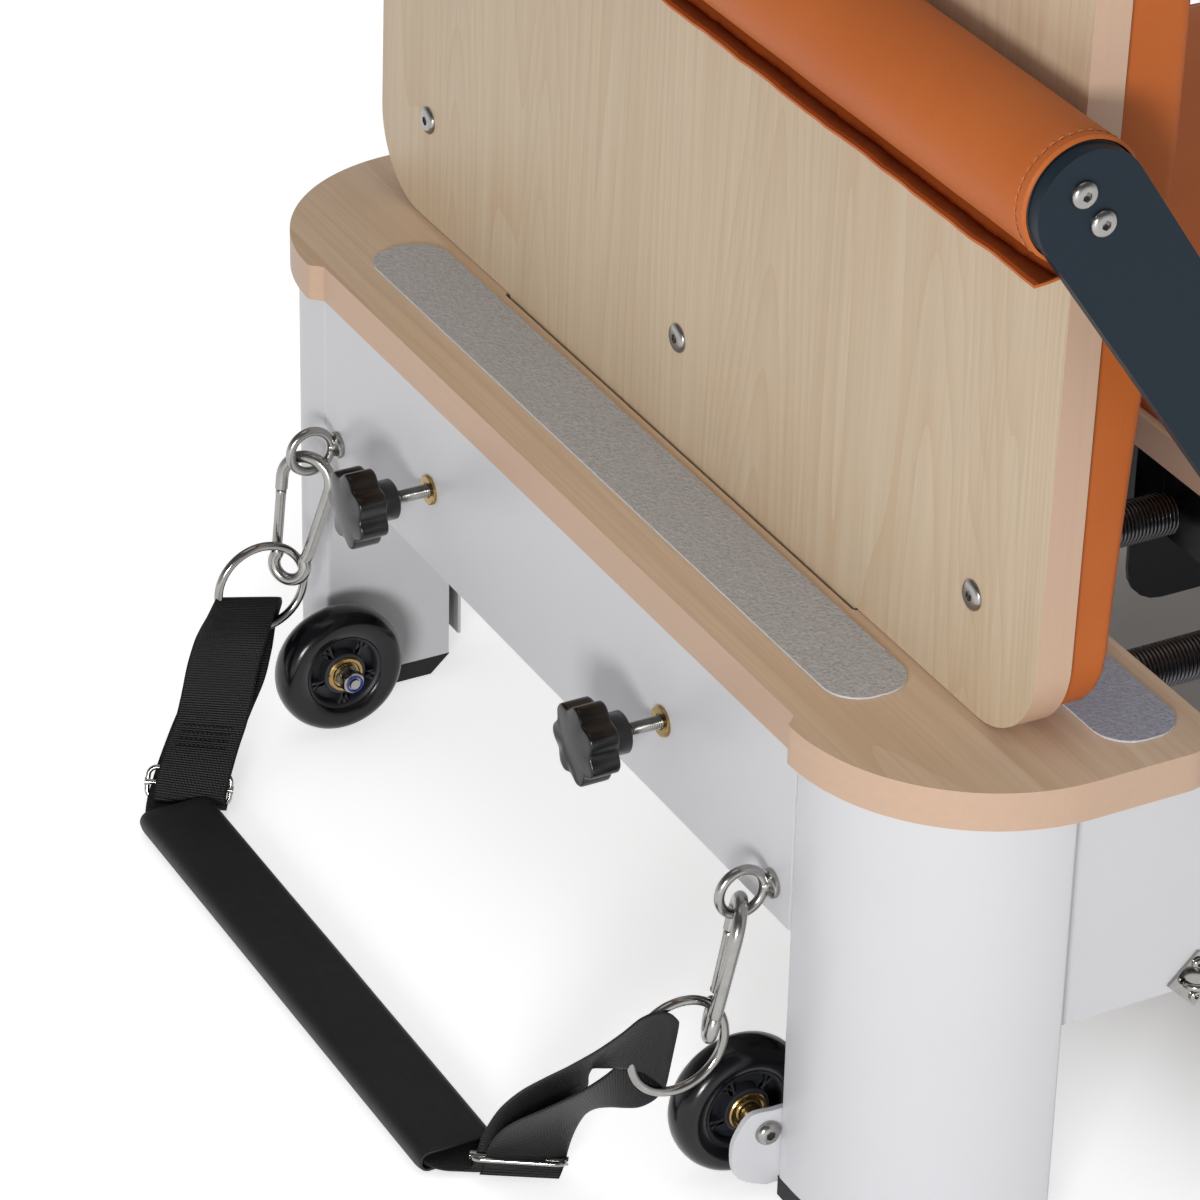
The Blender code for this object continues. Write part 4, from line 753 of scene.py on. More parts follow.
def leg_sheet():
    """The leg's folded sheet in plan, with small folds at its corners."""
    cx, cy = LEG_FRONT + LEG_ROUND, LEG_OUTER - LEG_ROUND
    outside = [(82.7, 273.8)] + arc(4.0, 276.3, 2.5, 270, 180, 5)
    outside += arc(cx, cy, LEG_ROUND, 180, 90, 40)
    outside += arc(97.5, 378.5, 2.5, 90, 0, 5) + [(100.0, 292.0)]
    inside = [(98.0, 292.0), (98.0, 379.0)] + arc(cx, cy, LEG_ROUND - SHEET, 90, 180, 40)
    inside += [(3.5, 275.8), (82.7, 275.8)]
    return outside + inside


def shoe_plan():
    cx, cy = LEG_FRONT + LEG_ROUND, LEG_OUTER - LEG_ROUND
    front = [p for p in arc(cx, cy, LEG_ROUND, 180, 90, 40) if p[0] < 83.0]
    return [(SHOE_BACK, 273.8), (LEG_FRONT, 273.8)] + front + [(SHOE_BACK, LEG_OUTER - 0.5)]


def mirrored(points, side, head):
    return [((FRAME_MIRROR - x) if head else x, side * y) for x, y in points]


def shoe(side, head):
    """A rubber shoe whose lower back edge slopes forward."""
    shape = prism(mirrored(shoe_plan(), side, head), 0.0, SHOE_HEIGHT)
    back = FRAME_MIRROR - SHOE_BACK if head else SHOE_BACK
    for corner in shape.verts:
        if abs(corner.co.x - back) < 0.1 and corner.co.z < 1.0:
            corner.co.x += SHOE_SLOPE if head else -SHOE_SLOPE
    return shape


def make_legs():
    """Legs at both ends; the shoes at the head end have no CAD node of their own."""
    for name, side in SIDES:
        for end, head in (("foot", False), ("head", True)):
            sheet = prism(mirrored(leg_sheet(), side, head), LEG_LOW, LEG_HIGH)
            add(f"{end}_leg_{name}_sheet", sheet, WHITE, f"{end}_frame", f"{end}_leg_{name}", bevel=0.4)
            add(f"{end}_shoe_{name}_cap", shoe(side, head), RUBBER, f"{end}_frame",
                None if head else f"foot_shoe_{name}", bevel=1.2)


# Knobs, threaded inserts and eye bolts on the foot end beam
KNOB_Y, KNOB_Z = 137.0, 216.0


def lobed(radius, dip, lobes=7):
    return lambda angle: radius - dip * ((1 - math.cos(lobes * angle + 0.9)) / 2) ** 1.25


def make_knobs():
    for name, side in SIDES:
        body = f"clamp_knob_{name}"
        y = side * KNOB_Y
        head = [(11.0, -22.0), (11.7, -22.6), (11.7, -34.0), (12.4, -34.4), (lobed(20.5, 2.6), -34.4),
                (lobed(22.2, 3.6), -34.8), (lobed(22.9, 3.9), -35.6), (lobed(23.0, 4.0), -37.0),
                (lobed(23.0, 4.0), -50.3), (lobed(22.8, 3.9), -51.2), (lobed(22.2, 3.8), -51.8),
                (lobed(21.4, 3.6), -52.0), (lobed(19.0, 2.6), -52.2), (14.5, -52.7), (8.0, -53.4),
                (3.0, -53.7)]
        add(f"{body}_head", turned(head, (0, y, KNOB_Z), "X", 112), BLACK_PLASTIC, body, body, sharp=50)
        stud = join(thread((0, y, KNOB_Z), "X", 4.05, -26.0, 8.0, 1.35, 0.8),
                    turned([(3.7, 7.0), (3.7, 27.0), (3.1, 27.8)], (0, y, KNOB_Z), "X", 24))
        add(f"{body}_stud", stud, STEEL, body, sharp=60)
        flange = [(4.15, 5.0), (4.15, -0.1), (4.5, -0.6), (8.0, -0.7), (8.6, -0.3), (8.8, 0.3), (8.8, 1.4),
                  (5.5, 1.4), (5.5, 9.0), (4.15, 9.0)]
        add(f"threaded_insert_{name}", turned(flange, (0, y, KNOB_Z), "X", 48, True), GOLD, "foot_frame")


EYE_X, EYE_Y, EYE_Z = -17.0, 256.0, 185.7
EYE_RADIUS, EYE_WIRE = 13.0, 2.75


def make_eye_bolts():
    for name, side in SIDES:
        place = (0, side * EYE_Y, EYE_Z)
        ring = tube(ring_points((EYE_X, side * EYE_Y, EYE_Z), EYE_RADIUS, 72), EYE_WIRE, 18, True)
        neck = turned([(2.3, -6.0), (3.2, -4.4), (4.4, -3.2), (6.4, -2.6), (7.6, -1.9), (8.0, -0.9),
                       (8.0, 0.6), (7.6, 1.3), (3.6, 1.4), (3.6, 4.0)], place, "X", 40)
        nut = hex_nut((3.7, side * EYE_Y, EYE_Z), "X", 1, 13.0, 6.0)
        shank = thread(place, "X", 3.9, 3.0, 15.5)
        add(f"eye_bolt_{name}_ring", join(ring, neck, nut, shank), STEEL, "foot_frame", f"eye_bolt_{name}")


# Transport wheels with their brackets, bearings and axle bolts
WHEEL_X, WHEEL_Y, WHEEL_Z = -6.1, 243.4, 42.8
PLATE_INNER, PLATE_OUTER = 270.0, 273.5
SPOKES = 5


def on_axle(profile, side, steps, hollow=False):
    """Turn a profile of (radius, y on the left) round the axle of one side's wheel."""
    return turned([(r, side * y) for r, y in profile], (WHEEL_X, 0, WHEEL_Z), "Y", steps, hollow)


def make_wheels():
    for name, side in SIDES:
        body = f"transport_wheel_{name}"
        centre = (WHEEL_X, side * WHEEL_Y, WHEEL_Z)
        half = [(23.4, 8.0), (23.7, 9.0), (24.6, 9.8), (27.0, 10.9), (29.6, 11.7), (32.2, 12.0), (34.6, 11.4),
                (36.8, 9.8), (38.5, 7.4), (39.6, 4.4), (40.0, 1.4)]
        profile = half + [(r, -y) for r, y in reversed(half)]
        add(f"{body}_tyre", turned(profile, centre, "Y", 96, True), TYRE, body, body, sharp=60)
        rim = [(24.2, 8.6), (23.4, 8.9), (22.4, 8.4), (21.4, 7.4), (20.9, 5.0), (20.9, -5.0), (21.4, -7.4),
               (22.4, -8.4), (23.4, -8.9), (24.2, -8.6)]
        boss = [(13.6, 7.5), (13.2, 9.0), (12.2, 9.6), (11.2, 9.6), (11.2, -9.6), (12.2, -9.6), (13.2, -9.0),
                (13.6, -7.5)]
        parts = [turned(rim, centre, "Y", 72, True), turned(boss, centre, "Y", 48, True)]
        parts.append(turned([(22.5, -1.6), (22.5, 1.6), (12.5, 1.6), (12.5, -1.6)], centre, "Y", 48, True))
        for k in range(SPOKES):
            for tilt in (-0.20, 0.20):
                spoke = prism([(12.6, -1.4), (21.6, -1.2), (21.6, 1.2), (12.6, 1.4)], -7.2, 7.2, "Y")
                bmesh.ops.bevel(spoke, geom=spoke.edges[:], offset=0.6, segments=2, affect="EDGES")
                for corner in spoke.verts:
                    reach = (corner.co.x - 12.6) / 9.7
                    corner.co.z += tilt * 16 * (reach - 0.25)
                spoke.transform(Matrix.Rotation(2 * math.pi * k / SPOKES + 0.35, 4, "Y"))
                spoke.transform(Matrix.Translation(centre))
                parts.append(spoke)
        add(f"{body}_hub", join(*parts), HUB, body)
        cup = [(11.3, 8.4), (11.3, 10.3), (10.6, 11.0), (9.0, 11.2), (8.2, 10.5), (7.4, 10.5), (6.8, 11.2),
               (5.6, 11.2), (4.4, 10.8), (4.4, 8.4)]
        cups = [turned([(r, s * y) for r, y in cup], centre, "Y", 48, True) for s in (1, -1)]
        add(f"{body}_bearings", join(*cups), GOLD, body)

        front = [(-2, 55.3), (-13.5, 56.3), (-18.6, 53.6), (-22.8, 47.5), (-25.9, 40.4), (-26.4, 31.1),
                 (-25.2, 23.4), (-21.6, 17.0), (-14.5, 12.4), (-5.0, 8.2)]
        curve = smooth_path([(x, 0, z) for x, z in front], 5)
        outline = [(30.0, 55.2)] + [(p.x, p.z) for p in curve] + [(30.0, 8.2)]
        hole = circle(WHEEL_X, WHEEL_Z, 4.2, 24)
        plate = prism(outline, side * PLATE_INNER, side * PLATE_OUTER, "Y", [hole])
        add(f"wheel_bracket_{name}_plate", plate, WHITE, "foot_frame", f"wheel_bracket_{name}", bevel=0.9)
        head = screw_head((WHEEL_X, side * 273.6, WHEEL_Z), "Y", side, 7.0, 4.4, 5.0)
        shank = on_axle([(3.9, 223.0), (3.9, 273.0)], side, 24)
        spacer = on_axle([(5.9, 255.0), (6.1, 255.6), (6.1, 269.2), (5.9, 269.8)], side, 32)
        washer = on_axle([(7.4, 231.3), (7.4, 229.9)], side, 40)
        nut = hex_nut((WHEEL_X, side * 229.8, WHEEL_Z), "Y", -side, 12.6, 9.4)
        add(f"wheel_bolt_{name}", join(head, shank, spacer, washer, nut), STEEL, "foot_frame")
        lock = on_axle([(4.3, 220.6), (5.3, 220.6), (5.3, 220.1), (4.3, 220.1)], side, 32, True)
        add(f"wheel_locknut_ring_{name}", lock, BLUE, "foot_frame")


# Jump board
LEAN = math.radians(0.85)
PANEL_FRONT, PANEL_THICK = 80.5, 20.0
PANEL_HALF, PANEL_ROUND = 362.0, 50.0
PANEL_SEAT = 0.3 + PANEL_THICK * math.tan(LEAN)
TONGUE_HALF = 194.0
SCREW_Y, SCREW_HEIGHTS = (-301, 0, 301), (64.0, 400.0)


def lean(x, y, height):
    """A point of the jump board: x behind its front face, height along the board from the platform."""
    c, s = math.cos(LEAN), math.sin(LEAN)
    return Vector((PANEL_FRONT + x * c + height * s, y, TOP - x * s + height * c))


def leaned(shape):
    for corner in shape.verts:
        corner.co = lean(*corner.co)
    return shape


def make_jump_board():
    half = [(TONGUE_HALF, -50.0), (TONGUE_HALF, PANEL_SEAT)]
    side = PANEL_HALF - PANEL_ROUND
    half += arc(side, PANEL_SEAT + PANEL_ROUND, PANEL_ROUND, -90, 0, 28)
    half += arc(side, 400.0, PANEL_ROUND, 0, 90, 28)
    outline = half + [(-y, h) for y, h in reversed(half)]
    panel = leaned(prism(outline, 0, PANEL_THICK, "X"))
    add("jump_board_face", panel, PANEL_WOOD, "jump_board", "jump_board_panel", bevel=1.1)
    backing = rounded(-359.5, 359.5, PANEL_SEAT + 2.5, 447.5, 47.5, 20)
    add("jump_board_backing", leaned(prism(backing, 19.6, 21.2, "X")), DARK_LINE, "jump_board")
    screws = [leaned(screw_head((0, y, height), "X", -1, 8.2, 2.6, 5.0))
              for height in SCREW_HEIGHTS for y in SCREW_Y]
    add("jump_board_screws", join(*screws), STEEL, "jump_board")


# Foot bar
BAR_X, BAR_Z = 53.158, 629.4
PIVOT_X, PIVOT_Z = 349.0, 200.0
ARM_INNER, ARM_OUTER = 412.0, 420.0
ARM_HALF_TOP, ARM_HALF_FOOT = 29.0, 24.0
SLEEVE_END = 411.7
SLEEVE_RADIUS, SLEEVE_BORE = 32.0, 30.0
STITCH_INSET = 6.9


def make_foot_bar():
    centre = (BAR_X, 0, BAR_Z)
    tube_shape = turned([(24.0, -411.9), (24.0, 411.9), (21.5, 411.9), (21.5, -411.9)], centre, "Y", 48, True)
    plug = [(2.0, 400.0), (28.6, 400.0), (29.6, 409.0), (29.4, 411.0), (28.0, 411.8), (2.0, 411.8)]
    plugs = [turned([(r, s * y) for r, y in plug], centre, "Y", 64) for s in (1, -1)]
    add("foot_bar_core", tube_shape, SLATE, "foot_bar", "foot_bar_tube")
    add("foot_bar_plugs", join(*plugs), BLACK_PLASTIC, "foot_bar")
    run = math.degrees(math.atan2(PIVOT_Z - BAR_Z, PIVOT_X - BAR_X))
    outline = arc(BAR_X, BAR_Z, ARM_HALF_TOP, run + 90, run + 270, 40)
    outline += arc(PIVOT_X, PIVOT_Z, ARM_HALF_FOOT, run - 90, run + 90, 32)
    step = Vector((math.cos(math.radians(run)), 0, math.sin(math.radians(run)))) * 10
    for name, side in SIDES:
        arm = prism(outline, side * ARM_INNER, side * ARM_OUTER, "Y", [circle(PIVOT_X, PIVOT_Z, 6.3, 32)])
        add(f"foot_bar_arm_{name}_plate", arm, SLATE, "foot_bar", f"foot_bar_arm_{name}", bevel=1.0)
        place = Vector((BAR_X, side * ARM_OUTER, BAR_Z))
        screws = [screw_head(place + step * k, "Y", side, 7.0, 3.4, 4.6) for k in (1, -1)]
        add(f"foot_bar_arm_{name}_screws", join(*screws), STEEL, "foot_bar")


def stitches(points, normals, length=3.4, gap=1.6, radius=0.42):
    """A row of short threads along points, lifted a little off the surface."""
    points = [Vector(p) for p in points]
    marks, travel = [0.0], 0.0
    for a, b in zip(points, points[1:]):
        travel += (b - a).length
        marks.append(travel)

    def read(distance):
        for i in range(len(points) - 1):
            if marks[i + 1] >= distance:
                share = (distance - marks[i]) / max(marks[i + 1] - marks[i], 1e-6)
                normal = Vector(normals[i]).lerp(Vector(normals[i + 1]), share)
                return points[i].lerp(points[i + 1], share), normal
        return points[-1], Vector(normals[-1])

    shapes = []
    start = gap
    while start + length < travel:
        line, sizes = [], []
        for k, lift in ((0, -0.2), (1, 0.75), (2, 0.95), (3, 0.75), (4, -0.2)):
            point, normal = read(start + length * k / 4)
            line.append(point + normal.normalized() * radius * lift)
            sizes.append(radius * (0.75 if k in (0, 4) else 1.0))
        shapes.append(tube(line, sizes, 6))
        start += length + gap
    return join(*shapes)


def round_bar(radius, angle, y):
    """A point on a circle round the foot bar's middle line."""
    return (BAR_X + radius * math.cos(angle), y, BAR_Z + radius * math.sin(angle))


def make_sleeve():
    """The leather wrap on the foot bar and the stitches at its ends."""
    ends = [SLEEVE_END, SLEEVE_END - 0.5, SLEEVE_END - 1.4, 408.6, 407.0, 405.6, 404.8, 404.0, 402.0]
    rows = [-y for y in ends] + [-395 + 790 * i / 150 for i in range(151)] + ends[::-1]
    steps = 96
    shape = bmesh.new()
    rings = []
    angles = [2 * math.pi * i / steps for i in range(steps)]
    for y in rows:
        edge = SLEEVE_END - abs(y)
        seam = math.exp(-((edge - STITCH_INSET) / 0.8) ** 2) * 0.55
        curl = -1.6 * max(0.0, 1 - edge / 1.4) ** 2
        ring = []
        for angle in angles:
            wave = 0.35 * noise_at(Vector((y * 0.02, math.cos(angle) * 1.4, math.sin(angle) * 1.4)))
            now = SLEEVE_RADIUS - 0.4 + curl - seam + wave
            ring.append(shape.verts.new(round_bar(now, angle, y)))
        rings.append(ring)
    bores = [[shape.verts.new(round_bar(SLEEVE_BORE, a, y)) for a in angles] for y in (rows[0], rows[-1])]
    bridge(shape, bores[:1] + rings + bores[1:])
    sleeve = add("foot_bar_sleeve_wrap", shape, ORANGE, "foot_bar", "foot_bar_sleeve")
    rows_of_thread = []
    for y in (-SLEEVE_END + STITCH_INSET, SLEEVE_END - STITCH_INSET):
        angles = [2 * math.pi * k / 120 for k in range(121)]
        points = [round_bar(SLEEVE_RADIUS - 0.7, a, y) for a in angles]
        rows_of_thread.append(stitches(points, [(math.cos(a), 0, math.sin(a)) for a in angles]))
    add("foot_bar_sleeve_stitches", join(*rows_of_thread), ORANGE_THREAD, "foot_bar", sharp=0)


def make_sleeve_edge():
    """The sleeve's loose closing edge, which waves a little, and the hook tape stuck along it."""
    wrap, fuzz = bmesh.new(), bmesh.new()
    columns = 330
    thick = 1.5
    sections, strips = [], []
    for i in range(columns + 1):
        y = -SLEEVE_END + 2 * SLEEVE_END * i / columns
        wave = 0.9 * noise_at(Vector((y * 0.03, 1.7, 0.3))) + 0.5 * noise_at(Vector((y * 0.09, 5.1, 0.3)))
        lift = 1.2 * noise_at(Vector((y * 0.035, 9.4, 2.0)))
        tip = Vector((BAR_X - 23.0 + wave, y, BAR_Z - 37.5 + lift))
        route = [(BAR_X + 8.0, y, BAR_Z - 31.8), (BAR_X, y, BAR_Z - 34.0),
                 (BAR_X - 7.5, y, BAR_Z - 35.9 + lift * 0.2),
                 (BAR_X - 15.5, y, BAR_Z - 37.1 + lift * 0.6), tuple(tip)]
        column = smooth_path(route, 5)
        along = [(b - a).normalized() for a, b in zip(column, column[1:] + [column[-1] * 2 - column[-2]])]
        ups = [Vector((-a.z, 0, a.x)) * -1 for a in along]
        ups = [u if u.z > 0 else -u for u in ups]
        front = [wrap.verts.new(p + u * thick * 0.5) for p, u in zip(column, ups)]
        behind = [wrap.verts.new(p - u * thick * 0.5) for p, u in reversed(list(zip(column, ups)))]
        sections.append(front + behind)
        widen = 3.5 * max(0.0, 1 - (y + SLEEVE_END) / 30)
        strip = []
        for k, share in enumerate((0, 0.12, 0.5, 0.88, 1)):
            from_tip = 2.4 + (7.6 + widen) * (1 - share)
            travel, place, up = 0.0, column[-1], ups[-1]
            for m in range(len(column) - 1, 0, -1):
                length = (column[m] - column[m - 1]).length
                if travel + length >= from_tip:
                    place, up = column[m].lerp(column[m - 1], (from_tip - travel) / length), ups[m]
                    break
                travel += length
            rough = 0.5 * noise_at(Vector((y * 0.9, share * 6, 4.0)))
            raised = (0.5 if k in (0, 4) else 1.7) + (rough if 0 < k < 4 else 0)
            shift = 0.5 * noise_at(Vector((y * 0.5, share * 3 + 9, 1.0)))
            strip.append(fuzz.verts.new(place + up * raised + Vector((shift, 0, 0))))
        strips.append(strip)
    bridge(wrap, sections)
    bridge(fuzz, strips, wrap=False)
    wrap.faces.new(sections[0])
    wrap.faces.new(sections[-1])
    add("foot_bar_sleeve_edge", wrap, ORANGE, "foot_bar")
    add("foot_bar_sleeve_hook_tape", fuzz, VELCRO, "foot_bar", sharp=0)


# Foot strap
HOOK_WIRE = 3.75
HOOK_LENGTH = 87.0
HOOK_TOP, HOOK_FOOT = 15.0, 8.5
HOOK_SLACK = 0.3
HOOK_TILT = 12.0
HOOKS = {
    # name: (side, yaw of the hook's own plane, which of its sides opens, how high it rides in its eye)
    "left": (1, -46.0, -1, 2.0),
    "right": (-1, 61.0, 1, 0.5),
}


def hook_frame(name):
    side, yaw, _, lift = HOOKS[name]
    drop = EYE_RADIUS - EYE_WIRE - HOOK_WIRE - HOOK_SLACK - lift
    top = Vector((EYE_X, side * EYE_Y, EYE_Z - drop))
    tilt = math.radians(HOOK_TILT)
    down = Vector((-math.sin(tilt), 0, -math.cos(tilt)))
    flat = Vector((math.cos(math.radians(yaw)), math.sin(math.radians(yaw)), 0))
    return top, down, (flat - down * flat.dot(down)).normalized()


def hook_shape():
    """Centre line of a snap hook from its gate's latch round to the gate's hinge."""
    span = HOOK_LENGTH - 2 * HOOK_WIRE
    foot_centre = span - HOOK_FOOT
    taper = math.degrees(math.asin((HOOK_TOP - HOOK_FOOT) / (foot_centre - HOOK_TOP)))
    top = arc(0, -HOOK_TOP, HOOK_TOP, -taper, 180 + taper, 40)
    gate_top, gate_foot = Vector(top[0]), Vector(arc(0, -foot_centre, HOOK_FOOT, -taper, 0, 1)[0])
    latch, hinge = gate_foot.lerp(gate_top, 0.86), gate_foot.lerp(gate_top, 0.16)
    foot = arc(0, -foot_centre + 1.3, 9.8, 180 - 40, 360 + 40, 36)
    line = [tuple(latch)] + top + [(-hinge.x, hinge.y)] + foot + [tuple(hinge)]
    line = [Vector(p) for p in line]
    closer = []
    for a, b in zip(line, line[1:]):
        count = max(1, int((b - a).length / 1.2))
        closer += [a.lerp(b, k / count) for k in range(count)]
    closer.append(line[-1])
    for _ in range(3):
        middle = [(a + b * 2 + c) / 4 for a, b, c in zip(closer, closer[1:], closer[2:])]
        closer = closer[:1] + middle + closer[-1:]
    return [tuple(p) for p in closer], latch, hinge


def stand(shape, foot, up):
    """Put a shape made round Z on a point, its axis along a direction."""
    shape.transform(Matrix.Translation(foot) @ up.to_track_quat("Z", "X").to_matrix().to_4x4())
    return shape


def make_hooks():
    path, latch, hinge = hook_shape()
    for name, (_, _, opens, _) in HOOKS.items():
        top, down, flat = hook_frame(name)
        across = flat.cross(down).normalized()

        def place(point):
            return top + flat * point[0] * opens - down * point[1]

        line = [place(p) for p in path]
        body = tube(line, HOOK_WIRE, 20)
        toward = (latch - hinge).normalized()
        lock = turned([(3.4, -0.2), (3.4, 0.4)], (0, 0, 0), "Z", 20)
        stand(lock, place(latch + toward * 0.6), place(latch) - place(hinge))
        add(f"snap_hook_{name}_body", join(body, lock), STEEL, "foot_strap", f"carabiner_{name}")
        gate = f"carabiner_gate_{name}"
        low, high = place(hinge + toward * 3.2), place(latch - toward * 0.7)
        length = (high - low).length
        rod = turned([(2.4, 0), (2.9, 0.5), (3.05, 1.6), (3.05, length - 3.2), (3.2, length - 2.6),
                      (3.2, length - 0.5), (2.9, length)], (0, 0, 0), "Z", 28)
        stand(rod, low, high - low)
        pin = turned([(1.0, -3.3), (1.3, -3.1), (1.3, 3.1), (1.0, 3.3)], (0, 0, 0), "Z", 18)
        stand(pin, place(hinge + toward * 5.0), across)
        add(f"{gate}_sleeve", join(rod, pin), STEEL, gate, gate)


STRAP_RINGS = {"left": (-50.0, 256.0, 102.0), "right": (-51.3, -256.0, 100.7)}
STRAP_RING_RADIUS, STRAP_RING_WIRE = 27.5, 2.6
WEB_WIDTH, WEB_THICK = 42.0, 1.8
# Each route starts inside the handle, goes up to the ring, folds round its wire and comes back down.
# A stop gives the middle of the webbing and the direction across it. The fold's seven stops on the
# right, x -94 to -55.3, follow places computed from the strap's edges in the photograph.
WEB_ROUTES = {
    "right": [((-137, -150, 8.0), (-1, 0, 0)), ((-137, -166, 7.5), (-1, 0, 0)),
              ((-135, -175, 6), (-1, 0.06, 0)), ((-131, -183.5, 4.6), (-0.98, 0.2, 0)),
              ((-126, -190.5, 3.4), (-0.93, 0.36, 0)), ((-120.5, -195.5, 3), (-0.87, 0.49, 0)),
              ((-116, -197.5, 5.5), (-0.87, 0.49, 0.02)), ((-113.5, -197.5, 11), (-0.88, 0.46, 0.08)),
              ((-111.5, -199.5, 21), (-0.86, 0.38, 0.33)), ((-109.7, -207, 37), (-0.8, 0.25, 0.54)),
              ((-107.5, -217.5, 54), (-0.72, 0.03, 0.69)), ((-104, -229.5, 72), (-0.62, -0.25, 0.74)),
              ((-100.5, -241, 88), (-0.5, -0.45, 0.74)), ((-98, -251, 102), (-0.2, -0.58, 0.79)),
              ((-94, -258, 112.3), (0.1, -0.55, 0.83)), ((-87.1, -261.5, 116.8), (0.22, -0.4, 0.89)),
              ((-79, -262.3, 116.5), (0.21, -0.3, 0.93)), ((-71.4, -262, 113.8), (0.19, -0.23, 0.95)),
              ((-64.9, -261, 109), (0.19, -0.17, 0.97)), ((-59, -259.2, 102), (0.17, -0.1, 0.98)),
              ((-55.3, -256.5, 95.5), (0.14, -0.05, 0.99)), ((-57.5, -253, 90), (0.12, -0.02, 0.99)),
              ((-63, -251, 86), (0.06, -0.03, 1)), ((-70, -249.6, 83), (-0.05, -0.1, 0.99)),
              ((-77.5, -248.3, 80.5), (-0.16, -0.26, 0.95)), ((-85.5, -246.5, 77.5), (-0.28, -0.42, 0.86)),
              ((-94, -243, 73), (-0.42, -0.5, 0.76)), ((-101, -237.5, 66), (-0.6, -0.45, 0.66)),
              ((-105.5, -230, 57), (-0.78, -0.3, 0.55)), ((-108.3, -221.5, 46.5), (-0.88, -0.1, 0.46)),
              ((-109.5, -213, 34.5), (-0.92, 0.1, 0.38)), ((-110, -206.5, 23), (-0.92, 0.28, 0.25)),
              ((-111, -203.8, 14), (-0.88, 0.44, 0.1)), ((-113, -204.5, 8.5), (-0.85, 0.52, 0)),
              ((-115.5, -205.5, 4.6), (-0.85, 0.52, 0))],
    "left": [((-137, 160, 6.2), (-1, 0, 0)), ((-137, 175, 6.2), (-1, 0, 0)),
             ((-134, 188, 6.6), (-0.97, 0.2, 0)), ((-128, 199, 8), (-0.92, 0.4, 0.03)),
             ((-121, 208, 12), (-0.88, 0.47, 0.03)), ((-113, 217, 18), (-0.87, 0.49, 0.03)),
             ((-104, 226, 24), (-0.85, 0.52, 0.07)), ((-95, 235, 30), (-0.85, 0.52, 0.07)),
             ((-86, 242, 38), (-0.86, 0.5, 0.05)), ((-75, 249, 50), (-0.87, 0.49, 0.02)),
             ((-67, 256, 62), (-0.92, 0.32, 0.05)), ((-61.5, 260, 73), (-0.96, 0.1, 0.12)),
             ((-57.5, 261, 83), (-0.97, 0.03, 0.22)), ((-56, 259.8, 92), (-0.96, 0.06, 0.22)),
             ((-59, 255, 97.4), (-0.97, 0.03, 0.22)), ((-63.5, 251, 95.2), (-0.97, 0.03, 0.2)),
             ((-67, 249, 90), (-0.96, 0.1, 0.18)), ((-71.5, 247, 83.5), (-0.93, 0.25, 0.12)),
             ((-76.5, 244.5, 75.5), (-0.88, 0.42, 0.05)), ((-83, 240, 64), (-0.87, 0.49, 0.02)),
             ((-90, 233, 50.5), (-0.87, 0.49, 0.03)), ((-98, 224, 40.5), (-0.87, 0.48, 0.05)),
             ((-106.5, 216, 32.5), (-0.87, 0.47, 0.08)), ((-114.5, 207.5, 25), (-0.87, 0.47, 0.1)),
             ((-121.5, 200, 17.5), (-0.87, 0.47, 0.13)), ((-125.5, 194.5, 11.5), (-0.87, 0.47, 0.15)),
             ((-125.5, 194, 7.8), (-0.87, 0.47, 0.15)), ((-123.5, 197, 6.4), (-0.87, 0.47, 0.15)),
             ((-121, 201, 7.6), (-0.87, 0.47, 0.15))],
}
WEB_STEPS = 10


def web_path(name):
    """The middle of a strap and the directions across it, closely spaced."""
    return [smooth_path(stops, WEB_STEPS) for stops in zip(*WEB_ROUTES[name])]


def make_webbing(name):
    points, across = web_path(name)
    length = sum((b - a).length for a, b in zip(points, points[1:]))
    piece = add(f"strap_webbing_{name}_band", ribbon(points, across, WEB_WIDTH, WEB_THICK), WEBBING,
                "foot_strap", f"strap_webbing_{name}", sharp=0)


def make_bar_tack():
    """The rows of stitching across the far webbing, where its two layers are sewn together."""
    points, across = web_path("left")
    rows = []
    for row in range(4):
        at_row = int(WEB_STEPS * 21.3) + row * 3
        wide = across[at_row].normalized()
        ahead = (points[at_row + 1] - points[at_row - 1]).normalized()
        out = ahead.cross(wide).normalized()
        out = out if out.y < 0 else -out
        line = [points[at_row] + wide * (16 - 30 * k / 12) + out * (WEB_THICK / 2 + 0.1) for k in range(13)]
        rows.append(stitches(line, [out] * 13, 2.2, 0.5, 0.55))
    add("strap_webbing_left_stitches", join(*rows), BLACK_THREAD, "foot_strap", sharp=0)


BUCKLES = {
    # name: (middle, direction of the long side, direction of the short side)
    "right": ((-113.0, -200.5, 12.6), (0.84, -0.54, 0), (-0.5, -0.77, 0.4)),
    "left": ((-121.5, 204.5, 13.5), (-0.88, 0.48, 0.1), (0.2, 0.38, 0.9)),
}


BUCKLE_HALF_WIDE, BUCKLE_HALF_DEEP, BUCKLE_ROUND = 24.2, 9.0, 5.0
BUCKLE_WIRE = 1.5


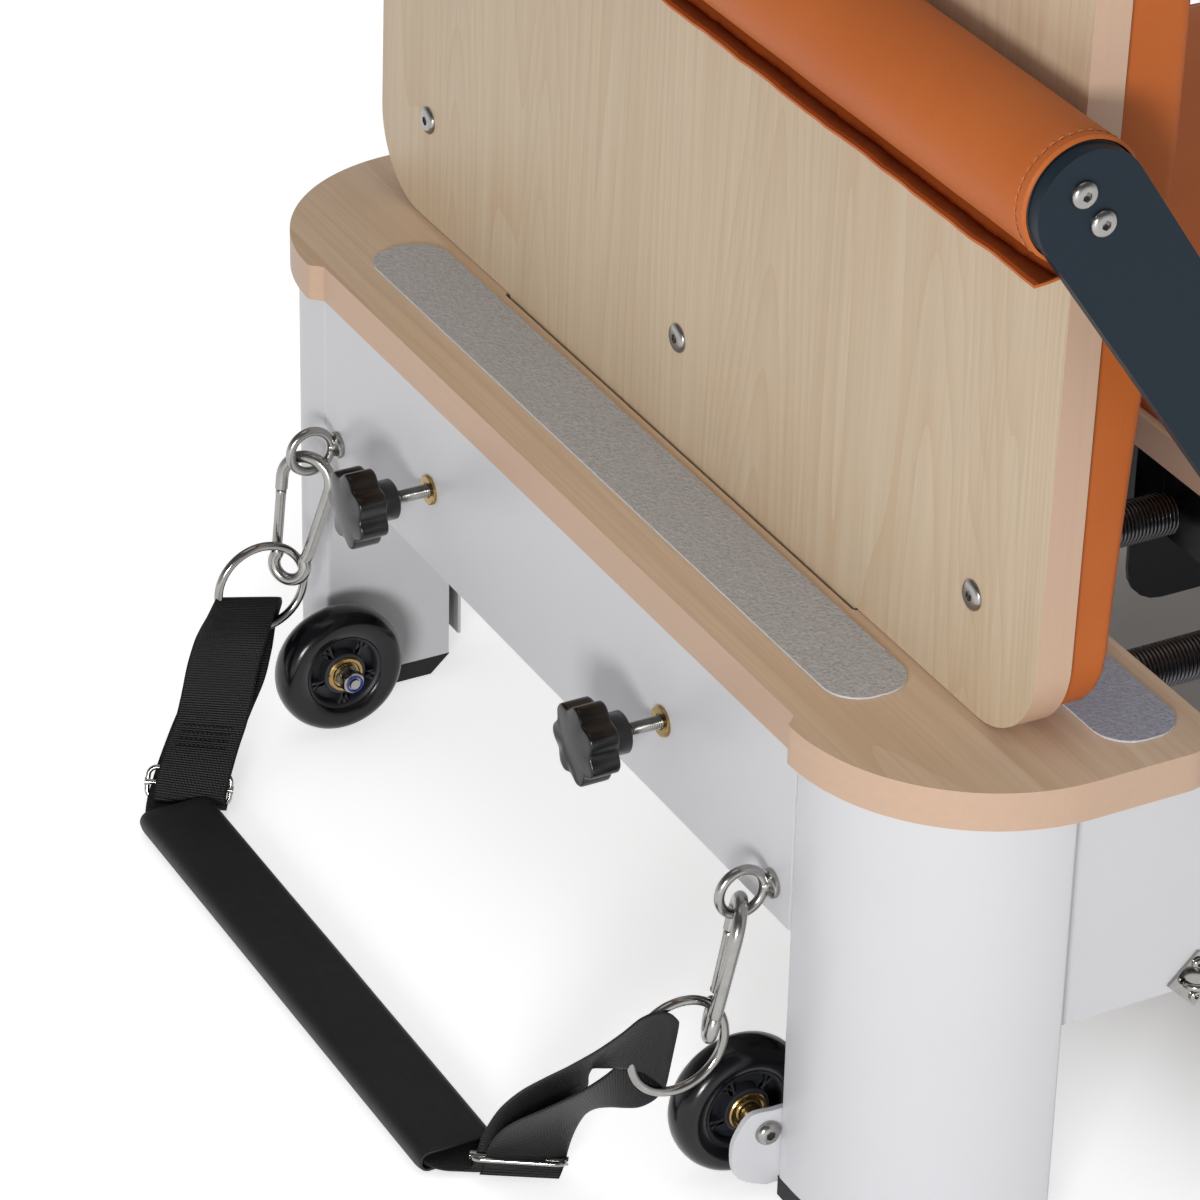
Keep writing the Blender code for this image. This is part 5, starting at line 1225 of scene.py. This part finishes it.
def make_buckle(name):
    """A bent wire frame with a middle bar between the webbing's layers."""
    middle, wide, deep = (Vector(v) for v in BUCKLES[name])
    wide.normalize()
    deep = (deep - wide * deep.dot(wide)).normalized()
    frame_line = rounded(-BUCKLE_HALF_WIDE, BUCKLE_HALF_WIDE, -BUCKLE_HALF_DEEP, BUCKLE_HALF_DEEP,
                         BUCKLE_ROUND, 8)
    loop = [middle + wide * a + deep * b for a, b in frame_line]
    ring = tube(dense(loop, 4.0), BUCKLE_WIRE, 14, True)
    bar = tube([middle - wide * 24.8, middle + wide * 24.8], 1.55, 14)
    ends = [tube([middle + wide * (s * 22.8), middle + wide * (s * 26.0)], 2.4, 14) for s in (1, -1)]
    add(f"strap_buckle_{name}_wire", join(ring, bar, *ends), CHROME, "foot_strap", f"strap_buckle_{name}")


HANDLE_START, HANDLE_LENGTH = -176.0, 366.0
HANDLE_OUTSIDE = (-160.0, -114.0, 0.5, 14.5)
HANDLE_INSIDE = (-157.6, -116.4, 2.6, 12.4)


def make_handle():
    """The oval foam grip: a thick-walled tube, a little crowned and creased."""
    rows = 120
    shape = bmesh.new()
    rings, bores = [], []
    for i in range(rows + 1):
        y = HANDLE_START + HANDLE_LENGTH * i / rows
        end = min(i, rows - i)
        nip = 0.7 if end == 0 else (0.2 if end == 1 else 0.0)
        sag = 0.35 * noise_at(Vector((y * 0.012, 0.5, 3.3)))
        x0, x1, z0, z1 = HANDLE_OUTSIDE
        outer = rounded(x0 + nip, x1 - nip, z0 + nip, z1 - nip + sag, 6.2, 8)
        x0, x1, z0, z1 = HANDLE_INSIDE
        inner = rounded(x0, x1, z0, z1 + sag, 4.0, 8)
        rings.append([shape.verts.new((x, y, z)) for x, z in outer])
        bores.append([shape.verts.new((x, y, z)) for x, z in inner])
    bridge(shape, rings)
    bridge(shape, bores)
    for at_end in (0, -1):
        bridge(shape, [rings[at_end], bores[at_end]])
    add("strap_handle_grip", shape, HANDLE_FOAM, "foot_strap", "strap_handle", sharp=50)


def make_strap():
    for name, _ in SIDES:
        ring = tube(ring_points(STRAP_RINGS[name], STRAP_RING_RADIUS, 96), STRAP_RING_WIRE, 18, True)
        add(f"strap_ring_{name}_loop", ring, CHROME, "foot_strap", f"strap_ring_{name}")
        make_webbing(name)
        make_buckle(name)
    make_bar_tack()
    make_handle()


# Springs, closely wound
SPRING_Y = (-205.5, -68.5, 68.5, 205.5)


def make_springs():
    start, end = 24.1, 371.7
    wire, radius, sides = 1.12, 11.9, 6
    hook, pitch = 9.0, 2.5
    turns = int((end - start - 2 * hook) / pitch)
    points_per_turn = 14
    for index, y in enumerate(SPRING_Y):
        points = [(start, y, KNOB_Z), (start + 3.0, y, KNOB_Z), (start + 5.5, y, KNOB_Z + radius * 0.5),
                  (start + 7.5, y, KNOB_Z + radius * 0.9)]
        for i in range(turns * points_per_turn + 1):
            angle = 2 * math.pi * i / points_per_turn
            x = start + hook + (end - start - 2 * hook) * i / (turns * points_per_turn)
            points.append((x, y + radius * math.sin(angle), KNOB_Z + radius * math.cos(angle)))
        points += [(end - 7.5, y, KNOB_Z + radius * 0.9), (end - 5.5, y, KNOB_Z + radius * 0.5),
                   (end - 3.0, y, KNOB_Z), (end, y, KNOB_Z)]
        name = f"spring_{index + 1}"
        piece = add(f"{name}_coil", tube(points, wire, sides), SPRING_WIRE, None, name, sharp=0)
        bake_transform(piece)


# Carriage, headrest and shoulder rests
def cushion(x0, x1, y0, y1, thick, radius, edge, crown, tuck, place, seed):
    """A stuffed pad: drawn in at its foot, a band up to a seam, a rounded top edge and a crowned top."""
    rows, ripple = 14, 0.5
    cx, cy, hx, hy = (x0 + x1) / 2, (y0 + y1) / 2, (x1 - x0) / 2, (y1 - y0) / 2
    shape = bmesh.new()
    levels = [(tuck + 2.0, 0.0), (tuck, 0.4), (tuck * 0.45, 2.5), (tuck * 0.1, 7.0), (0.0, thick * 0.35),
              (0.1, thick * 0.55)]
    for angle in range(0, 91, 10):
        a = math.radians(angle)
        levels.append((edge * (1 - math.cos(a)), thick - crown - edge * (1 - math.sin(a))))
    rings = []

    def bulge(x, y):
        u, v = min(1.0, abs(x - cx) / hx), min(1.0, abs(y - cy) / hy)
        return crown * (1 - u ** 3) * (1 - v ** 3)

    for inset, height in levels:
        corner = max(radius - inset, 4.0)
        rings.append((dense(rounded(x0 + inset, x1 - inset, y0 + inset, y1 - inset, corner, 10)), height))
    count = min(len(outline) for outline, _ in rings)
    made = []
    for outline, height in rings:
        ring = []
        for x, y in resample(outline, count):
            ripple_now = ripple * noise_at(Vector((x * 0.018, y * 0.018, height * 0.03 + seed)))
            nx, ny = x - cx, y - cy
            size = math.hypot(nx / hx, ny / hy) or 1
            push = 1 + ripple_now / max(hx, hy) / size if 2 < height < thick - crown else 1
            over = bulge(x, y) * (1 if height >= thick - crown - 0.01 else 0)
            ring.append(shape.verts.new(place(cx + nx * push, cy + ny * push, height + over)))
        made.append(ring)
    last = resample(rings[-1][0], count)
    for row in range(1, rows):
        share = 1 - (row / rows) ** 0.9
        ring = []
        for x, y in last:
            px, py = cx + (x - cx) * share, cy + (y - cy) * share
            wave = ripple * 0.6 * noise_at(Vector((px * 0.012, py * 0.012, seed + 7)))
            height = thick - crown + bulge(px, py) + wave * (1 - share ** 4)
            ring.append(shape.verts.new(place(px, py, height)))
        made.append(ring)
    bridge(shape, made)
    shape.faces.new(made[0])
    top = shape.verts.new(place(cx, cy, thick))
    for i in range(count):
        shape.faces.new((made[-1][i], made[-1][(i + 1) % count], top))
    return shape


def resample(outline, count):
    """The same closed outline with a given number of points at even spacing."""
    points = [Vector(p) for p in outline]
    closed = points + [points[0]]
    marks = [0.0]
    for a, b in zip(closed, closed[1:]):
        marks.append(marks[-1] + (b - a).length)
    result, i = [], 0
    for k in range(count):
        want = marks[-1] * k / count
        while marks[i + 1] < want:
            i += 1
        share = (want - marks[i]) / max(marks[i + 1] - marks[i], 1e-9)
        result.append(tuple(closed[i].lerp(closed[i + 1], share)))
    return result


def pad(name, body, box, thick, radius, edge, crown, tuck, place, piping=0.0, seed=0.0):
    """A padded cover and, where piping gives its radius, the cord in its upper seam."""
    shape = cushion(*box, thick, radius, edge, crown, tuck, place, seed)
    add(f"{name}_cover", shape, ORANGE, body, name, sharp=0)
    if piping:
        x0, x1, y0, y1 = box
        inset = edge * 0.28
        outline = dense(rounded(x0 + inset, x1 - inset, y0 + inset, y1 - inset, radius, 10), 10.0)
        line = [place(x, y, thick - crown - inset) for x, y in outline]
        add(f"{name}_piping", tube(line, piping, 8, True), ORANGE, body, sharp=0)


PEG_X, PEG_Y = 917.0, 165.0


def make_carriage():
    base = 292.3
    pegs = [circle(PEG_X, side * PEG_Y, 8.5, 28) for _, side in SIDES]
    board = prism(rounded(330.0, 1150.0, -300.0, 300.0, 25.0, 16), 272.0, 292.0, holes=pegs)
    add("carriage_top", board, CARRIAGE_WOOD, "carriage", "carriage_board", bevel=1.0)

    def flat(x, y, height):
        return (x, y, base + height)

    def upright(y, z, height):
        return (942.0 - height, y, z)

    box = (334.0, 878.0, -296.0, 296.0)
    pad("carriage_pad", "carriage", box, 48.0, 30.0, 12.0, 4.0, 1.5, flat, 1.2)
    box = (904.0, 1144.0, -98.0, 98.0)
    pad("headrest", "headrest", box, 45.0, 25.0, 13.0, 5.0, 1.5, flat, 1.1, 3.0)
    for name, side in SIDES:
        box = (side * PEG_Y - 52.0, side * PEG_Y + 52.0, 312.3, 442.3)
        piece = f"shoulder_rest_{name}"
        pad(piece, piece, box, 50.0, 24.0, 11.0, 4.0, 1.2, upright, 1.1, 5.0 + side)
        peg = turned([(7.6, 232.3), (8.0, 233.0), (8.0, 312.8)], (PEG_X, side * PEG_Y, 0), "Z", 40)
        foot = turned([(14.0, 292.6), (15.0, 293.2), (15.0, 295.6), (14.0, 296.6), (8.5, 297.0),
                       (8.5, 292.6)], (PEG_X, side * PEG_Y, 0), "Z", 40)
        add(f"{piece}_peg", join(peg, foot), BLACK_PAINT, piece)


def make_jump_pad():
    """The jump board's pad; its band grows thicker from its lower edge upwards."""
    def place(y, h, x):
        share = max(0.0, min(1.0, (h - PANEL_SEAT) / 440.0))
        rise = max(0.0, min(1.0, (share - 0.08) / 0.7))
        fall = max(0.0, min(1.0, (share - 0.85) / 0.15))
        swell = (0.98 + 0.5 * rise * rise * (3 - 2 * rise)) * (1 - 0.12 * fall * fall)
        return lean(20.6 + x * swell, y, h)

    box = (-358.0, 358.0, PANEL_SEAT + 4.0, 446.0)
    pad("jump_board_pad", "jump_board", box, 27.0, 46.0, 5.0, 2.0, 0.6, place, 0.0, 11.0)


# Small fittings on the frame
def make_fittings():
    for name, side in SIDES:
        x, y, z = 184.0, side * 373.2, 144.0
        diamond = [(x + a, z + b) for a, b in dense(circle(0, 0, 17.0, 4), 30)]
        plate = prism(diamond, y, y + side * 2.0, "Y")
        parts = [plate]
        parts += [screw_head((x, y + side * 1.9, z + dz), "Y", side, 3.6, 2.2, 2.6) for dz in (-10.0, 10.0)]
        ring = [(x + 7.5 * math.cos(a), y + side * (3.0 + 7.0 * math.sin(a)), z)
                for a in [math.pi * k / 20 for k in range(21)]]
        parts.append(tube(ring, 2.0, 12))
        add(f"rail_eye_plate_{name}", join(*parts), CHROME, "foot_frame", bevel=0.3)
        head = turned([(11.0, side * 420.3), (11.0, side * 423.6), (10.0, side * 424.8), (8.0, side * 425.3),
                       (hexagon(8.0), side * 425.3), (hexagon(7.8), side * 422.5)],
                      (PIVOT_X, 0, PIVOT_Z), "Y", 48)
        add(f"foot_bar_pivot_{name}", head, STEEL, "foot_frame")


def main():
    make_floor()
    make_world()
    make_lights()
    make_camera()
    dress_frame()
    make_platform()
    make_legs()
    make_knobs()
    make_eye_bolts()
    make_wheels()
    make_jump_board()
    make_foot_bar()
    make_sleeve()
    make_sleeve_edge()
    make_hooks()
    make_strap()
    make_springs()
    make_carriage()
    make_jump_pad()
    make_fittings()


main()
